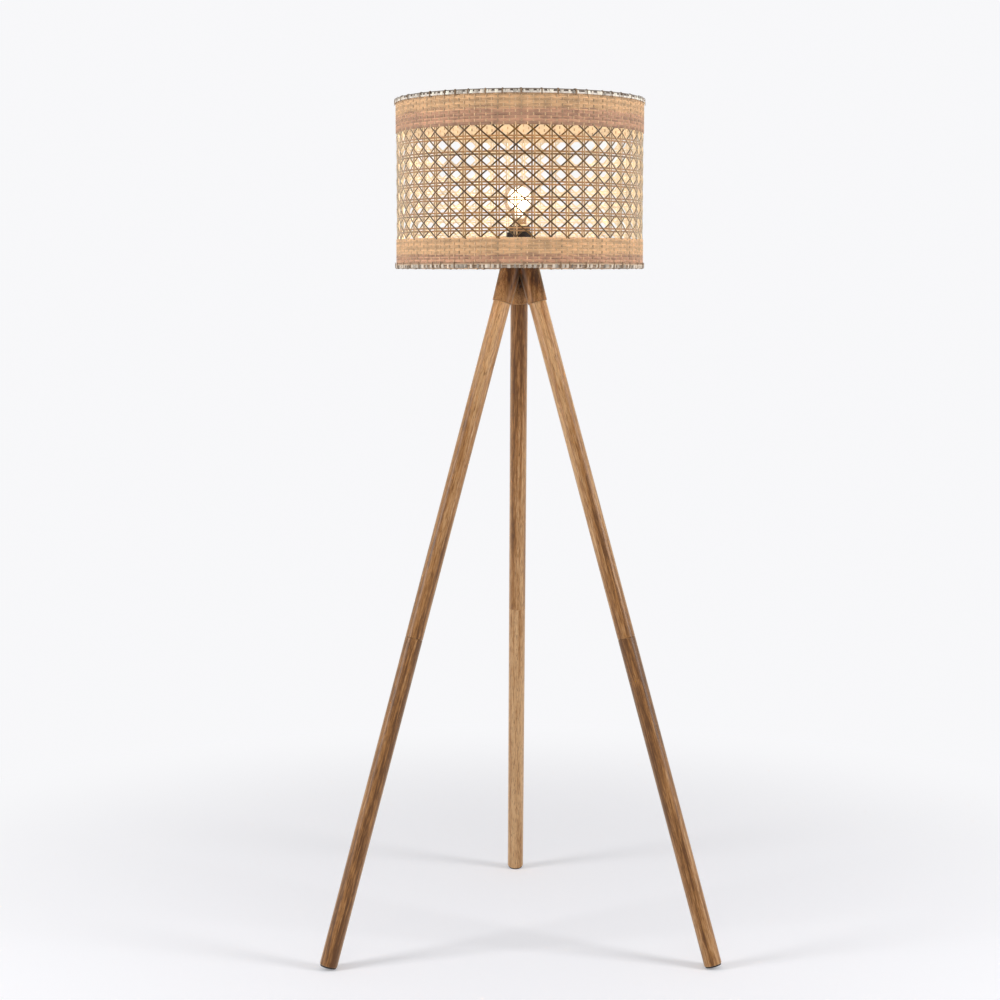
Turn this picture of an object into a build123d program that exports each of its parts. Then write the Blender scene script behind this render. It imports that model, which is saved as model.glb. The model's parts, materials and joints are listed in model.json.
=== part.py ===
from build123d import *
from build123d.topology import SkipClean
import math
import os

# Tripod floor lamp. Three two-piece wooden legs screw into a turned wooden hub. The hub carries a
# screw-cap lampholder, and a woven cane drum shade is clamped on the lampholder by a ring.
# Millimetres. The floor is z = 0, the lamp's axis is the Z axis, and the front is towards -Y.

# Legs
LEG_AZIMUTHS = {"left": 210.0, "right": 330.0, "rear": 90.0}  # degrees about the lamp's axis
LEG_LEAN = 17.0  # degrees from upright
LEG_DIAMETER = 32.0
LEG_EDGE = 0.8  # chamfer round each end of a leg piece
UPPER_LEG_LENGTH = 630.0
LOWER_LEG_LENGTH = 606.0
BUTT_GAP = 0.1  # between pieces that meet end to end, or face to face on another body
FOOT_PAD_DIAMETER = 29.0
FOOT_PAD_THICKNESS = 2.5

# Screwed joints of the legs
STUD_DIAMETER = 8.0
STUD_HELD = 30.0  # length fixed in the top of its own leg piece
STUD_SCREWED = 22.0  # length screwed into the insert above
STUD_TIP = 1.0  # chamfer at each end
INSERT_DIAMETER = 12.0
INSERT_LENGTH = 24.0
THREAD_CLEARANCE = 0.05  # radial, between a stud or nipple and its thread
FIT_CLEARANCE = 0.05  # radial, between pieces fixed in each other
HOLE_SPARE = 2.0  # how much deeper a blind hole is than what goes in

# Hub
HUB_BRANCH_LENGTH = 128.5  # from the point where the leg axes meet to a branch's end face
HUB_BRANCH_END_DIAMETER = 35.6
HUB_BRANCH_TAPER = 1.4  # degrees, each branch thickens towards the top
HUB_BRANCH_EDGE = 1.2
HUB_TOP_DROP = 43.5  # top face below the point where the leg axes meet
HUB_TOP_EDGE = 1.0
CORD_WAY_DIAMETER = 12.0
NUT_POCKET_DIAMETER = 18.0
NUT_POCKET_DEPTH = 6.5
BUSH_SEAT_DROP = 68.5  # seat of the cord bush below the point where the leg axes meet
BUSH_SEAT_DIAMETER = 16.0

# Cord bush
BUSH_BORE = 7.0
BUSH_FLANGE_DIAMETER = 15.0
BUSH_FLANGE = 2.0
BUSH_LENGTH = 12.0  # whole length, flange included

# Lampholder fixing
PLATE_DIAMETER = 50.0
PLATE_THICKNESS = 2.5
PLATE_SCREW_CIRCLE = 38.0
PLATE_SCREW_DIAMETER = 3.5
PLATE_SCREW_LENGTH = 16.0
PLATE_SCREW_HEAD = 6.8
NIPPLE_DIAMETER = 10.0
NIPPLE_BORE = 7.2
NIPPLE_ABOVE = 8.0  # length in the lampholder's neck
NIPPLE_BELOW = 13.0  # length below the plate
WASHER_DIAMETER = 16.0
WASHER_THICKNESS = 0.8
NUT_ACROSS_FLATS = 14.0
NUT_THICKNESS = 4.0

# Lampholder
HOLDER_DIAMETER = 39.0
HOLDER_NECK_DIAMETER = 20.0
HOLDER_NECK_HEIGHT = 6.5
HOLDER_CONE_HEIGHT = 8.0
HOLDER_CAP_HEIGHT = 24.0
HOLDER_CAP_WALL = 4.5
HOLDER_FLOOR = 2.5  # wall above the nipple's thread
HOLDER_SHELL_HEIGHT = 32.5
HOLDER_SHELL_WALL = 2.5
HOLDER_SHOULDER_DIAMETER = 46.0
HOLDER_SHOULDER_TOP = 10.5  # above the shell's foot
HOLDER_SHOULDER_THICKNESS = 3.0
HOLDER_THREAD_DIAMETER = 40.0
HOLDER_THREAD_DEPTH = 0.7
HOLDER_THREAD_PITCH = 2.5
HOLDER_LIP_HEIGHT = 4.0
HOLDER_LIP_BORE = 29.0
INSULATOR_THICKNESS = 5.0
INSULATOR_BOSS_HEIGHT = 6.0
SLEEVE_BORE = 27.0
SLEEVE_WALL = 0.4
SLEEVE_LENGTH = 25.5
CONTACT_LENGTH = 16.0
CONTACT_WIDTH = 6.0
CONTACT_STRIP = 0.6
CONTACT_DOME_DIAMETER = 5.0
TERMINAL_SIZE = (5.0, 8.0, 6.0)
TERMINAL_SPACING = 11.0
TERMINAL_SCREW_DIAMETER = 2.5
TERMINAL_SCREW_LENGTH = 5.0
TERMINAL_SCREW_HEAD = 4.0
TERMINAL_SCREW_HEAD_HEIGHT = 1.2

# Shade fitting
FITTER_OUTER_DIAMETER = 54.0
FITTER_THICKNESS = 2.2
FITTER_CLEARANCE = 0.35  # radial, round the lampholder's thread
CLAMP_RING_DIAMETER = 48.0
CLAMP_RING_HEIGHT = 8.0
CLAMP_RING_GRIPS = 24
CLAMP_RING_GRIP_DIAMETER = 2.0
CLAMP_RING_CLEARANCE = 0.3  # radial, round the lampholder's thread

# Shade
SHADE_DIAMETER = 450.0
SHADE_BELOW_SHOULDER = 54.8  # shade's lower edge below the lampholder's shoulder
SHADE_HEIGHT = 302.4
RIM_WIRE_DIAMETER = 4.4
TOP_BAND_HEIGHT = 56.4
BOTTOM_BAND_HEIGHT = 47.4
BAND_THICKNESS = 4.0
WEB_INSET = 1.6  # how far the webbing lies inside the bands' outer face
WEB_THICKNESS = 2.0
WEB_COLUMNS = 48
WEB_ROW_PITCH = 25.9
WEB_TOP_ROW_DROP = 33.3  # middle of the top row of holes below the webbing's upper edge
WEB_EDGE = 3.0  # least width left below the bottom row of holes
WEB_HOLE_WIDTH = 18.0
WEB_HOLE_HEIGHT = 16.0
WEB_HOLE_CORNER = 5.0
HOOP_THICKNESS = 1.4
HOOP_HEIGHT = 5.0
ARM_AZIMUTHS = (30.0, 150.0, 270.0)
ARM_DIAMETER = 4.0
LASHING_COUNT = 48
LASHING_WIDTH = 2.0
LASHING_THICKNESS = 0.8
LASHING_REACH = 12.0  # how far a stitch covers the rim
LASHING_CLEARANCE = 0.15

# Bulb
BULB_DIAMETER = 60.0
BULB_WALL = 0.7
BULB_NECK_DIAMETER = 24.8
BULB_SHOULDER_RADIUS = 30.0
BULB_ABOVE_RIM = 79.0  # top of the bulb above the lampholder's rim
BULB_CAP_DIAMETER = 26.4
BULB_CAP_WALL = 0.5
BULB_CAP_ABOVE_RIM = 3.0
BULB_CAP_CONE = 3.5
BULB_CAP_MOUTH_DIAMETER = 20.0
BULB_GLASS_IN_CAP = 14.0
BULB_PLUG_HEIGHT = 2.5
BULB_PIP_DIAMETER = 9.0
BULB_PIP_HEIGHT = 1.5
CONTACT_GAP = 0.3  # between the bulb's contact and the lampholder's
STEM_DIAMETER = 6.0
STEM_TOP_ABOVE_RIM = 22.0
STEM_FLARE_HEIGHT = 8.0
FILAMENT_COUNT = 4
FILAMENT_DIAMETER = 2.2
FILAMENT_HEIGHT = 40.0
FILAMENT_FOOT_CIRCLE = 12.0
FILAMENT_TOP_CIRCLE = 19.0
SUPPORT_WIRE_DIAMETER = 1.0
SUPPORT_GAP = 3.0  # from the stem's top to the lower wire cross

# Places along a leg, measured from the point where the leg axes meet
lean = math.radians(LEG_LEAN)
upper_top = HUB_BRANCH_LENGTH + BUTT_GAP
upper_end = upper_top + UPPER_LEG_LENGTH
lower_top = upper_end + BUTT_GAP
lower_end = lower_top + LOWER_LEG_LENGTH
pad_end = lower_end + FOOT_PAD_THICKNESS

# Heights. The inner edge of each foot pad stands on the floor.
apex_z = pad_end * math.cos(lean) + FOOT_PAD_DIAMETER / 2 * math.sin(lean)
hub_top_z = apex_z - HUB_TOP_DROP
bush_seat_z = apex_z - BUSH_SEAT_DROP
plate_top_z = hub_top_z + PLATE_THICKNESS
cap_top_z = plate_top_z + HOLDER_CAP_HEIGHT
rim_z = cap_top_z + HOLDER_SHELL_HEIGHT
shoulder_z = cap_top_z + HOLDER_SHOULDER_TOP
sleeve_z = cap_top_z + INSULATOR_THICKNESS
fitter_z = shoulder_z + BUTT_GAP
clamp_ring_z = fitter_z + FITTER_THICKNESS + BUTT_GAP
shade_bottom_z = shoulder_z - SHADE_BELOW_SHOULDER
shade_top_z = shade_bottom_z + SHADE_HEIGHT
bottom_band_z = shade_bottom_z + RIM_WIRE_DIAMETER
top_band_z = shade_top_z - RIM_WIRE_DIAMETER
web_bottom_z = bottom_band_z + BOTTOM_BAND_HEIGHT
web_top_z = top_band_z - TOP_BAND_HEIGHT

# Radii of the shade
band_outer = SHADE_DIAMETER / 2
band_inner = band_outer - BAND_THICKNESS
hoop_outer = band_outer + HOOP_THICKNESS
rim_wire_circle = band_outer - BAND_THICKNESS / 2
web_outer = band_outer - WEB_INSET
web_inner = web_outer - WEB_THICKNESS

# The bulb's contact pip stands just above the lampholder's centre contact.
contact_top_z = sleeve_z + 2 * CONTACT_STRIP
pip_z = contact_top_z + CONTACT_GAP
plug_z = pip_z + BULB_PIP_HEIGHT
bulb_cap_z = plug_z + BULB_PLUG_HEIGHT
bulb_cap_top_z = rim_z + BULB_CAP_ABOVE_RIM
stem_top_z = rim_z + STEM_TOP_ABOVE_RIM
filament_foot_z = stem_top_z + SUPPORT_GAP
filament_top_z = filament_foot_z + FILAMENT_HEIGHT


def rod(diameter, start, end):
    """Round bar on the Z axis between two heights."""
    align = (Align.CENTER, Align.CENTER, Align.MIN)
    return Pos(0, 0, start) * Cylinder(diameter / 2, end - start, align=align)


def tube(outer_diameter, inner_diameter, start, end):
    """Round tube on the Z axis between two heights."""
    return rod(outer_diameter, start, end) - rod(inner_diameter, start, end)


def turned(*outline):
    """Solid turned about the Z axis from an outline of (radius, height) points."""
    points = [(radius, 0, height) for radius, height in outline]
    return revolve(make_face(Polyline(*points, close=True)), Axis.Z)


def bar_between(start, end, diameter):
    """Round bar from one point to another."""
    way = Vector(*end) - Vector(*start)
    return Plane(origin=start, z_dir=way) * rod(diameter, 0, way.length)


def chamfered_bar(diameter, start, end, edge):
    """Round bar on the Z axis with a chamfer at each end."""
    radius = diameter / 2
    return turned(
        (0, start),
        (radius - edge, start),
        (radius, start + edge),
        (radius, end - edge),
        (radius - edge, end),
        (0, end),
    )


def around(azimuth, shape):
    """Shape turned about the lamp's axis."""
    return Rot(0, 0, azimuth) * shape


def leg_plane(azimuth):
    """Plane at the point where the leg axes meet, with its Z axis down along one leg."""
    turn = math.radians(azimuth)
    across = (-math.sin(turn), math.cos(turn), 0)
    along = (math.sin(lean) * math.cos(turn), math.sin(lean) * math.sin(turn), -math.cos(lean))
    return Plane(origin=(0, 0, apex_z), x_dir=across, z_dir=along)


def insert_hole(end):
    """Blind hole for a threaded insert that is flush with an end face at this place along the leg."""
    return rod(INSERT_DIAMETER + 2 * FIT_CLEARANCE, end - INSERT_LENGTH - HOLE_SPARE, end)


def threaded_insert(end):
    return tube(INSERT_DIAMETER, STUD_DIAMETER + 2 * THREAD_CLEARANCE, end - INSERT_LENGTH, end)


def leg_stud(top):
    """Double-ended stud fixed in the leg piece whose top face is at this place along the leg."""
    return chamfered_bar(STUD_DIAMETER, top - STUD_SCREWED, top + STUD_HELD, STUD_TIP)


def leg_piece(top, end):
    """Round wooden leg piece with a hole in its top for the stud."""
    wood = chamfered_bar(LEG_DIAMETER, top, end, LEG_EDGE)
    return wood - rod(STUD_DIAMETER + 2 * THREAD_CLEARANCE, top, top + STUD_HELD + HOLE_SPARE)


def upper_leg():
    return leg_piece(upper_top, upper_end) - insert_hole(upper_end)


def lower_leg():
    return leg_piece(lower_top, lower_end)


def foot_pad():
    """Pad glued to the square-cut end of a leg."""
    return rod(FOOT_PAD_DIAMETER, lower_end, pad_end)


def hub_branch():
    """One tapering branch of the hub, from the point where the leg axes meet to its end face."""
    end_radius = HUB_BRANCH_END_DIAMETER / 2
    top_radius = end_radius + HUB_BRANCH_LENGTH * math.tan(math.radians(HUB_BRANCH_TAPER))
    return turned(
        (0, 0),
        (top_radius, 0),
        (end_radius, HUB_BRANCH_LENGTH - HUB_BRANCH_EDGE),
        (end_radius - HUB_BRANCH_EDGE, HUB_BRANCH_LENGTH),
        (0, HUB_BRANCH_LENGTH),
    )


def hub():
    """Three branches in one block, cut flat on top, with the cord's way down its middle."""
    planes = [leg_plane(azimuth) for azimuth in LEG_AZIMUTHS.values()]
    block = planes[0] * hub_branch()
    for plane in planes[1:]:
        block += plane * hub_branch()
    above_top = 2 * HUB_BRANCH_LENGTH
    block -= rod(above_top, hub_top_z, hub_top_z + above_top)
    top_edges = block.faces().sort_by(Axis.Z)[-1].edges()
    block = chamfer(top_edges, HUB_TOP_EDGE)
    block -= rod(CORD_WAY_DIAMETER, bush_seat_z, hub_top_z)
    block -= rod(NUT_POCKET_DIAMETER, hub_top_z - NUT_POCKET_DEPTH, hub_top_z)
    block -= rod(BUSH_SEAT_DIAMETER, bush_seat_z - HUB_BRANCH_LENGTH, bush_seat_z)
    for plane in planes:
        block -= plane * insert_hole(HUB_BRANCH_LENGTH)
    for place in plate_screw_places():
        block -= place * rod(PLATE_SCREW_DIAMETER + 2 * FIT_CLEARANCE, -PLATE_SCREW_LENGTH - HOLE_SPARE, 0)
    return block


def hub_inserts():
    return [leg_plane(azimuth) * threaded_insert(HUB_BRANCH_LENGTH) for azimuth in LEG_AZIMUTHS.values()]


def cord_bush():
    """Flanged bush that lines the lower end of the cord's way."""
    outer = CORD_WAY_DIAMETER - 2 * FIT_CLEARANCE
    flange = rod(BUSH_FLANGE_DIAMETER, bush_seat_z - BUSH_FLANGE, bush_seat_z)
    body = rod(outer, bush_seat_z - BUSH_FLANGE, bush_seat_z - BUSH_FLANGE + BUSH_LENGTH)
    return flange + body - rod(BUSH_BORE, bush_seat_z - BUSH_FLANGE, bush_seat_z + BUSH_LENGTH)


def plate_screw_places():
    """Each screw goes down into one branch, from the plate's lower face."""
    radius = PLATE_SCREW_CIRCLE / 2
    return [around(azimuth, Pos(radius, 0, hub_top_z)) for azimuth in LEG_AZIMUTHS.values()]


def screw_outline(grow):
    """Countersunk screw flush with the plate's upper face, made larger all round for its hole."""
    shank = PLATE_SCREW_DIAMETER / 2 + grow
    head = PLATE_SCREW_HEAD / 2 + grow
    cone = head - shank
    return turned(
        (0, -PLATE_SCREW_LENGTH),
        (shank, -PLATE_SCREW_LENGTH),
        (shank, PLATE_THICKNESS - cone),
        (head, PLATE_THICKNESS),
        (0, PLATE_THICKNESS),
    )


def holder_plate():
    plate = tube(PLATE_DIAMETER, NIPPLE_DIAMETER + 2 * THREAD_CLEARANCE, hub_top_z, plate_top_z)
    for place in plate_screw_places():
        plate -= place * screw_outline(FIT_CLEARANCE)
    return plate


def plate_screws():
    return [place * screw_outline(0) for place in plate_screw_places()]


def nipple():
    return tube(NIPPLE_DIAMETER, NIPPLE_BORE, hub_top_z - NIPPLE_BELOW, plate_top_z + NIPPLE_ABOVE)


def nipple_washer():
    return tube(WASHER_DIAMETER, NIPPLE_DIAMETER + 2 * FIT_CLEARANCE, hub_top_z - WASHER_THICKNESS, hub_top_z)


def nipple_nut():
    top = hub_top_z - WASHER_THICKNESS
    hexagon = RegularPolygon(NUT_ACROSS_FLATS / 2, 6, major_radius=False)
    nut = extrude(Pos(0, 0, top) * hexagon, amount=-NUT_THICKNESS)
    return nut - rod(NIPPLE_DIAMETER + 2 * THREAD_CLEARANCE, top - NUT_THICKNESS, top)


def holder_cap():
    """Lower half of the lampholder, screwed down on the nipple."""
    outer = HOLDER_DIAMETER / 2
    inner = outer - HOLDER_CAP_WALL
    neck = HOLDER_NECK_DIAMETER / 2
    thread = NIPPLE_DIAMETER / 2 + THREAD_CLEARANCE
    cone_foot = plate_top_z + HOLDER_NECK_HEIGHT
    floor = cone_foot + HOLDER_FLOOR
    return turned(
        (thread, plate_top_z),
        (neck, plate_top_z),
        (neck, cone_foot),
        (outer, cone_foot + HOLDER_CONE_HEIGHT),
        (outer, cap_top_z),
        (inner, cap_top_z),
        (inner, floor + HOLDER_CONE_HEIGHT),
        (neck - HOLDER_FLOOR, floor),
        (thread, floor),
    )


def holder_shell():
    """Upper half of the lampholder, with a shoulder and an outer thread for the shade."""
    outer = HOLDER_DIAMETER / 2
    inner = outer - HOLDER_SHELL_WALL
    shoulder = HOLDER_SHOULDER_DIAMETER / 2
    crest = HOLDER_THREAD_DIAMETER / 2
    root = crest - HOLDER_THREAD_DEPTH
    lip = HOLDER_LIP_BORE / 2
    outline = [
        (inner, cap_top_z),
        (outer, cap_top_z),
        (outer, shoulder_z - HOLDER_SHOULDER_THICKNESS),
        (shoulder, shoulder_z - HOLDER_SHOULDER_THICKNESS),
        (shoulder, shoulder_z),
        (root, shoulder_z),
    ]
    turns = int((rim_z - shoulder_z) / HOLDER_THREAD_PITCH)
    for turn in range(turns):
        foot = shoulder_z + turn * HOLDER_THREAD_PITCH
        outline.append((crest, foot + HOLDER_THREAD_PITCH / 2))
        outline.append((root, foot + HOLDER_THREAD_PITCH))
    outline.append((root, rim_z))
    outline.append((lip, rim_z))
    outline.append((lip, rim_z - HOLDER_LIP_HEIGHT))
    outline.append((inner, rim_z - HOLDER_LIP_HEIGHT))
    return turned(*outline)


def holder_insulator():
    """Disc between the two halves of the lampholder, with a boss below it for the terminals."""
    seat = HOLDER_DIAMETER - 2 * HOLDER_SHELL_WALL - 2 * FIT_CLEARANCE
    boss = HOLDER_DIAMETER - 2 * HOLDER_CAP_WALL - 2 * FIT_CLEARANCE
    return rod(seat, cap_top_z, sleeve_z) + rod(boss, cap_top_z - INSULATOR_BOSS_HEIGHT, cap_top_z)


def thread_sleeve():
    """Metal sleeve that takes the bulb's thread and is its side contact."""
    return tube(SLEEVE_BORE + 2 * SLEEVE_WALL, SLEEVE_BORE, sleeve_z, sleeve_z + SLEEVE_LENGTH)


def centre_contact():
    """Strip on the insulator with a dimple under the bulb's contact."""
    align = (Align.CENTER, Align.CENTER, Align.MIN)
    strip = Pos(0, 0, sleeve_z) * Box(CONTACT_LENGTH, CONTACT_WIDTH, CONTACT_STRIP, align=align)
    return strip + rod(CONTACT_DOME_DIAMETER, sleeve_z, contact_top_z)


def terminal_places():
    top = cap_top_z - INSULATOR_BOSS_HEIGHT
    return [Pos(side * TERMINAL_SPACING / 2, 0, top) for side in (-1, 1)]


def terminal_screw_axis():
    """Axis of a terminal's screw, outwards from its block's face."""
    width, depth, height = TERMINAL_SIZE
    return Plane(origin=(0, depth / 2, -height / 2), z_dir=(0, 1, 0))


def terminals():
    align = (Align.CENTER, Align.CENTER, Align.MAX)
    hole = rod(TERMINAL_SCREW_DIAMETER + 2 * THREAD_CLEARANCE, -TERMINAL_SCREW_LENGTH, 0)
    block = Box(*TERMINAL_SIZE, align=align) - terminal_screw_axis() * hole
    return [place * block for place in terminal_places()]


def terminal_screws():
    shank = rod(TERMINAL_SCREW_DIAMETER, BUTT_GAP - TERMINAL_SCREW_LENGTH, 0)
    head = rod(TERMINAL_SCREW_HEAD, 0, TERMINAL_SCREW_HEAD_HEIGHT)
    screw = terminal_screw_axis() * (shank + head)
    return [place * screw for place in terminal_places()]


def clamp_ring():
    """Ring that screws down on the lampholder and clamps the shade's fitter ring."""
    bore = HOLDER_THREAD_DIAMETER + 2 * CLAMP_RING_CLEARANCE
    top = clamp_ring_z + CLAMP_RING_HEIGHT
    ring = tube(CLAMP_RING_DIAMETER, bore, clamp_ring_z, top)
    grip = Pos(CLAMP_RING_DIAMETER / 2 + CLAMP_RING_GRIP_DIAMETER / 4, 0, 0)
    grip *= rod(CLAMP_RING_GRIP_DIAMETER, clamp_ring_z, top)
    step = 360 / CLAMP_RING_GRIPS
    return ring - [around(index * step, grip) for index in range(CLAMP_RING_GRIPS)]


def fitter_ring():
    bore = HOLDER_THREAD_DIAMETER + 2 * FITTER_CLEARANCE
    return tube(FITTER_OUTER_DIAMETER, bore, fitter_z, fitter_z + FITTER_THICKNESS)


def rim_wire(height):
    """Wire ring that stiffens one edge of the shade."""
    section = Plane.XZ * Pos(rim_wire_circle, height) * Circle(RIM_WIRE_DIAMETER / 2)
    return revolve(section, Axis.Z)


def top_rim_wire():
    return rim_wire(shade_top_z - RIM_WIRE_DIAMETER / 2)


def bottom_rim_wire():
    return rim_wire(shade_bottom_z + RIM_WIRE_DIAMETER / 2)


def fitter_arms():
    """Arms from the fitter ring down to the shade's lower rim wire, cut to fit both."""
    ring_height = fitter_z + FITTER_THICKNESS / 2
    wire_height = shade_bottom_z + RIM_WIRE_DIAMETER / 2
    bore = HOLDER_THREAD_DIAMETER / 2
    arm = bar_between((bore, 0, ring_height), (rim_wire_circle, 0, wire_height), ARM_DIAMETER)
    arm -= rod(FITTER_OUTER_DIAMETER, shade_bottom_z, shade_top_z)
    arm -= bottom_rim_wire()
    arm -= band(bottom_band_z, web_bottom_z)
    return [around(azimuth, arm) for azimuth in ARM_AZIMUTHS]


def band(start, end):
    """Closely woven band of the shade."""
    return tube(2 * band_outer, 2 * band_inner, start, end)


def rim_hoop(start):
    """Flat cane hoop round the outer face of a band."""
    return tube(2 * hoop_outer, 2 * band_outer, start, start + HOOP_HEIGHT)


def web_hole():
    """Eight-sided prism through the webbing at the front of the lamp."""
    half_width = WEB_HOLE_WIDTH / 2
    half_height = WEB_HOLE_HEIGHT / 2
    right = half_width - WEB_HOLE_CORNER
    top = half_height - WEB_HOLE_CORNER
    corners = [(right, half_height), (half_width, top), (half_width, -top), (right, -half_height)]
    corners += [(-x, -y) for x, y in corners]
    face = Plane.XZ.offset(web_inner - WEB_THICKNESS) * make_face(Polyline(*corners, close=True))
    return extrude(face, amount=3 * WEB_THICKNESS)


def webbing():
    """Open cane webbing between the bands, joined from equal columns of holes."""
    column_step = 360 / WEB_COLUMNS
    top_row_z = web_top_z - WEB_TOP_ROW_DROP
    lowest_row_z = web_bottom_z + WEB_EDGE + WEB_HOLE_HEIGHT / 2
    rows = int((top_row_z - lowest_row_z) / WEB_ROW_PITCH) + 1
    wall = Rectangle(WEB_THICKNESS, web_top_z - web_bottom_z, align=Align.MIN)
    section = Plane.XZ * Pos(web_inner, web_bottom_z) * wall
    column = around(-90 - column_step / 2, revolve(section, Axis.Z, revolution_arc=column_step))
    hole = web_hole()
    column -= [Pos(0, 0, top_row_z - row * WEB_ROW_PITCH) * hole for row in range(rows)]
    columns = [around(index * column_step, column) for index in range(WEB_COLUMNS)]
    with SkipClean():
        return columns[0] + columns[1:]


def lashing_stitch():
    """One stitch of the cane strip that ties the upper rim wire and hoop to the top band."""
    inner = min(band_inner, rim_wire_circle - RIM_WIRE_DIAMETER / 2) - LASHING_CLEARANCE
    outer = hoop_outer + LASHING_CLEARANCE
    crown = shade_top_z + LASHING_CLEARANCE
    align = (Align.MIN, Align.MAX)
    whole = Rectangle(outer - inner + 2 * LASHING_THICKNESS, LASHING_REACH, align=align)
    inside = Pos(LASHING_THICKNESS, -LASHING_THICKNESS) * Rectangle(outer - inner, LASHING_REACH, align=align)
    placed = Plane.XZ * Pos(inner - LASHING_THICKNESS, crown + LASHING_THICKNESS) * (whole - inside)
    return revolve(placed, Axis.Z, revolution_arc=math.degrees(LASHING_WIDTH / band_outer))


def top_rim_lashing():
    step = 360 / LASHING_COUNT
    stitch = lashing_stitch()
    return [around((index + 0.5) * step, stitch) for index in range(LASHING_COUNT)]


def bottom_rim_lashing():
    """The same stitches upside down on the lower rim wire."""
    middle = (shade_top_z + shade_bottom_z) / 2
    turned_over = Pos(0, 0, middle) * Rot(180, 0, 0) * Pos(0, 0, -middle)
    return [turned_over * stitch for stitch in top_rim_lashing()]


def bulb_profile(shrink):
    """Foot, edges and crown of the glass's half outline, drawn in by the wall for its inside."""
    globe = BULB_DIAMETER / 2 - shrink
    neck = BULB_NECK_DIAMETER / 2 - shrink
    shoulder = BULB_SHOULDER_RADIUS + shrink
    globe_z = rim_z + BULB_ABOVE_RIM - BULB_DIAMETER / 2
    # The hollow shoulder arc touches the neck's line and the globe.
    reach = BULB_DIAMETER / 2 + BULB_SHOULDER_RADIUS
    out = BULB_NECK_DIAMETER / 2 + BULB_SHOULDER_RADIUS
    drop = math.sqrt(reach**2 - out**2)
    bend_z = globe_z - drop
    slope = math.atan2(drop, out)
    rise = math.pi / 4 - slope / 2
    foot = Vector(neck, 0, bulb_cap_top_z - BULB_GLASS_IN_CAP)
    bend = Vector(neck, 0, bend_z)
    shoulder_mid = Vector(out - shoulder * math.cos(slope / 2), 0, bend_z + shoulder * math.sin(slope / 2))
    meet = Vector(out * globe / reach, 0, globe_z - drop * globe / reach)
    globe_mid = Vector(globe * math.cos(rise), 0, globe_z + globe * math.sin(rise))
    crown = Vector(0, 0, globe_z + globe)
    edges = [Line(foot, bend), ThreePointArc(bend, shoulder_mid, meet), ThreePointArc(meet, globe_mid, crown)]
    return foot, edges, crown


def bulb_glass():
    outer_foot, outer_edges, outer_crown = bulb_profile(0)
    inner_foot, inner_edges, inner_crown = bulb_profile(BULB_WALL)
    closing = [Line(outer_crown, inner_crown), Line(inner_foot, outer_foot)]
    return revolve(make_face(outer_edges + inner_edges + closing), Axis.Z)


def bulb_cap():
    outer = BULB_CAP_DIAMETER / 2
    inner = outer - BULB_CAP_WALL
    mouth = BULB_CAP_MOUTH_DIAMETER / 2
    return turned(
        (mouth, bulb_cap_z),
        (outer, bulb_cap_z + BULB_CAP_CONE),
        (outer, bulb_cap_top_z),
        (inner, bulb_cap_top_z),
        (inner, bulb_cap_z + BULB_CAP_CONE + BULB_CAP_WALL),
        (mouth - BULB_CAP_WALL, bulb_cap_z + BULB_CAP_WALL),
        (mouth - BULB_CAP_WALL, bulb_cap_z),
    )


def bulb_plug():
    """Insulating plug that closes the bulb's cap round the contact pip."""
    mouth = BULB_CAP_MOUTH_DIAMETER / 2
    pip = BULB_PIP_DIAMETER / 2
    return turned(
        (0, plug_z),
        (pip, plug_z),
        (mouth - FIT_CLEARANCE, bulb_cap_z),
        (mouth - BULB_CAP_WALL - FIT_CLEARANCE, bulb_cap_z),
        (mouth - BULB_CAP_WALL - FIT_CLEARANCE, bulb_cap_z + BULB_CAP_WALL),
        (0, bulb_cap_z + BULB_CAP_WALL),
    )


def bulb_pip():
    return rod(BULB_PIP_DIAMETER, pip_z, plug_z)


def bulb_stem():
    """Glass stem with a flare that is melted to the neck."""
    radius = STEM_DIAMETER / 2
    flare = BULB_NECK_DIAMETER / 2 - BULB_WALL - FIT_CLEARANCE
    foot = bulb_cap_top_z - BULB_GLASS_IN_CAP
    return turned(
        (0, foot),
        (flare, foot),
        (flare, foot + BULB_WALL),
        (radius, foot + STEM_FLARE_HEIGHT),
        (radius, stem_top_z),
        (0, stem_top_z),
    )


def filament_ends(index):
    """Foot and top of one filament."""
    turn = math.radians(45 + index * 360 / FILAMENT_COUNT)
    foot = FILAMENT_FOOT_CIRCLE / 2
    top = FILAMENT_TOP_CIRCLE / 2
    return (
        (foot * math.cos(turn), foot * math.sin(turn), filament_foot_z),
        (top * math.cos(turn), top * math.sin(turn), filament_top_z),
    )


def filaments():
    return [bar_between(*filament_ends(index), FILAMENT_DIAMETER) for index in range(FILAMENT_COUNT)]


def filament_support():
    """Wire mast on the stem, with a cross of wires to the feet and to the tops of the filaments."""
    wires = rod(SUPPORT_WIRE_DIAMETER, stem_top_z, filament_top_z + SUPPORT_WIRE_DIAMETER / 2)
    for index in range(FILAMENT_COUNT):
        for end in filament_ends(index):
            wires += bar_between((0, 0, end[2]), end, SUPPORT_WIRE_DIAMETER)
    for filament in filaments():
        wires -= filament
    return wires


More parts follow.
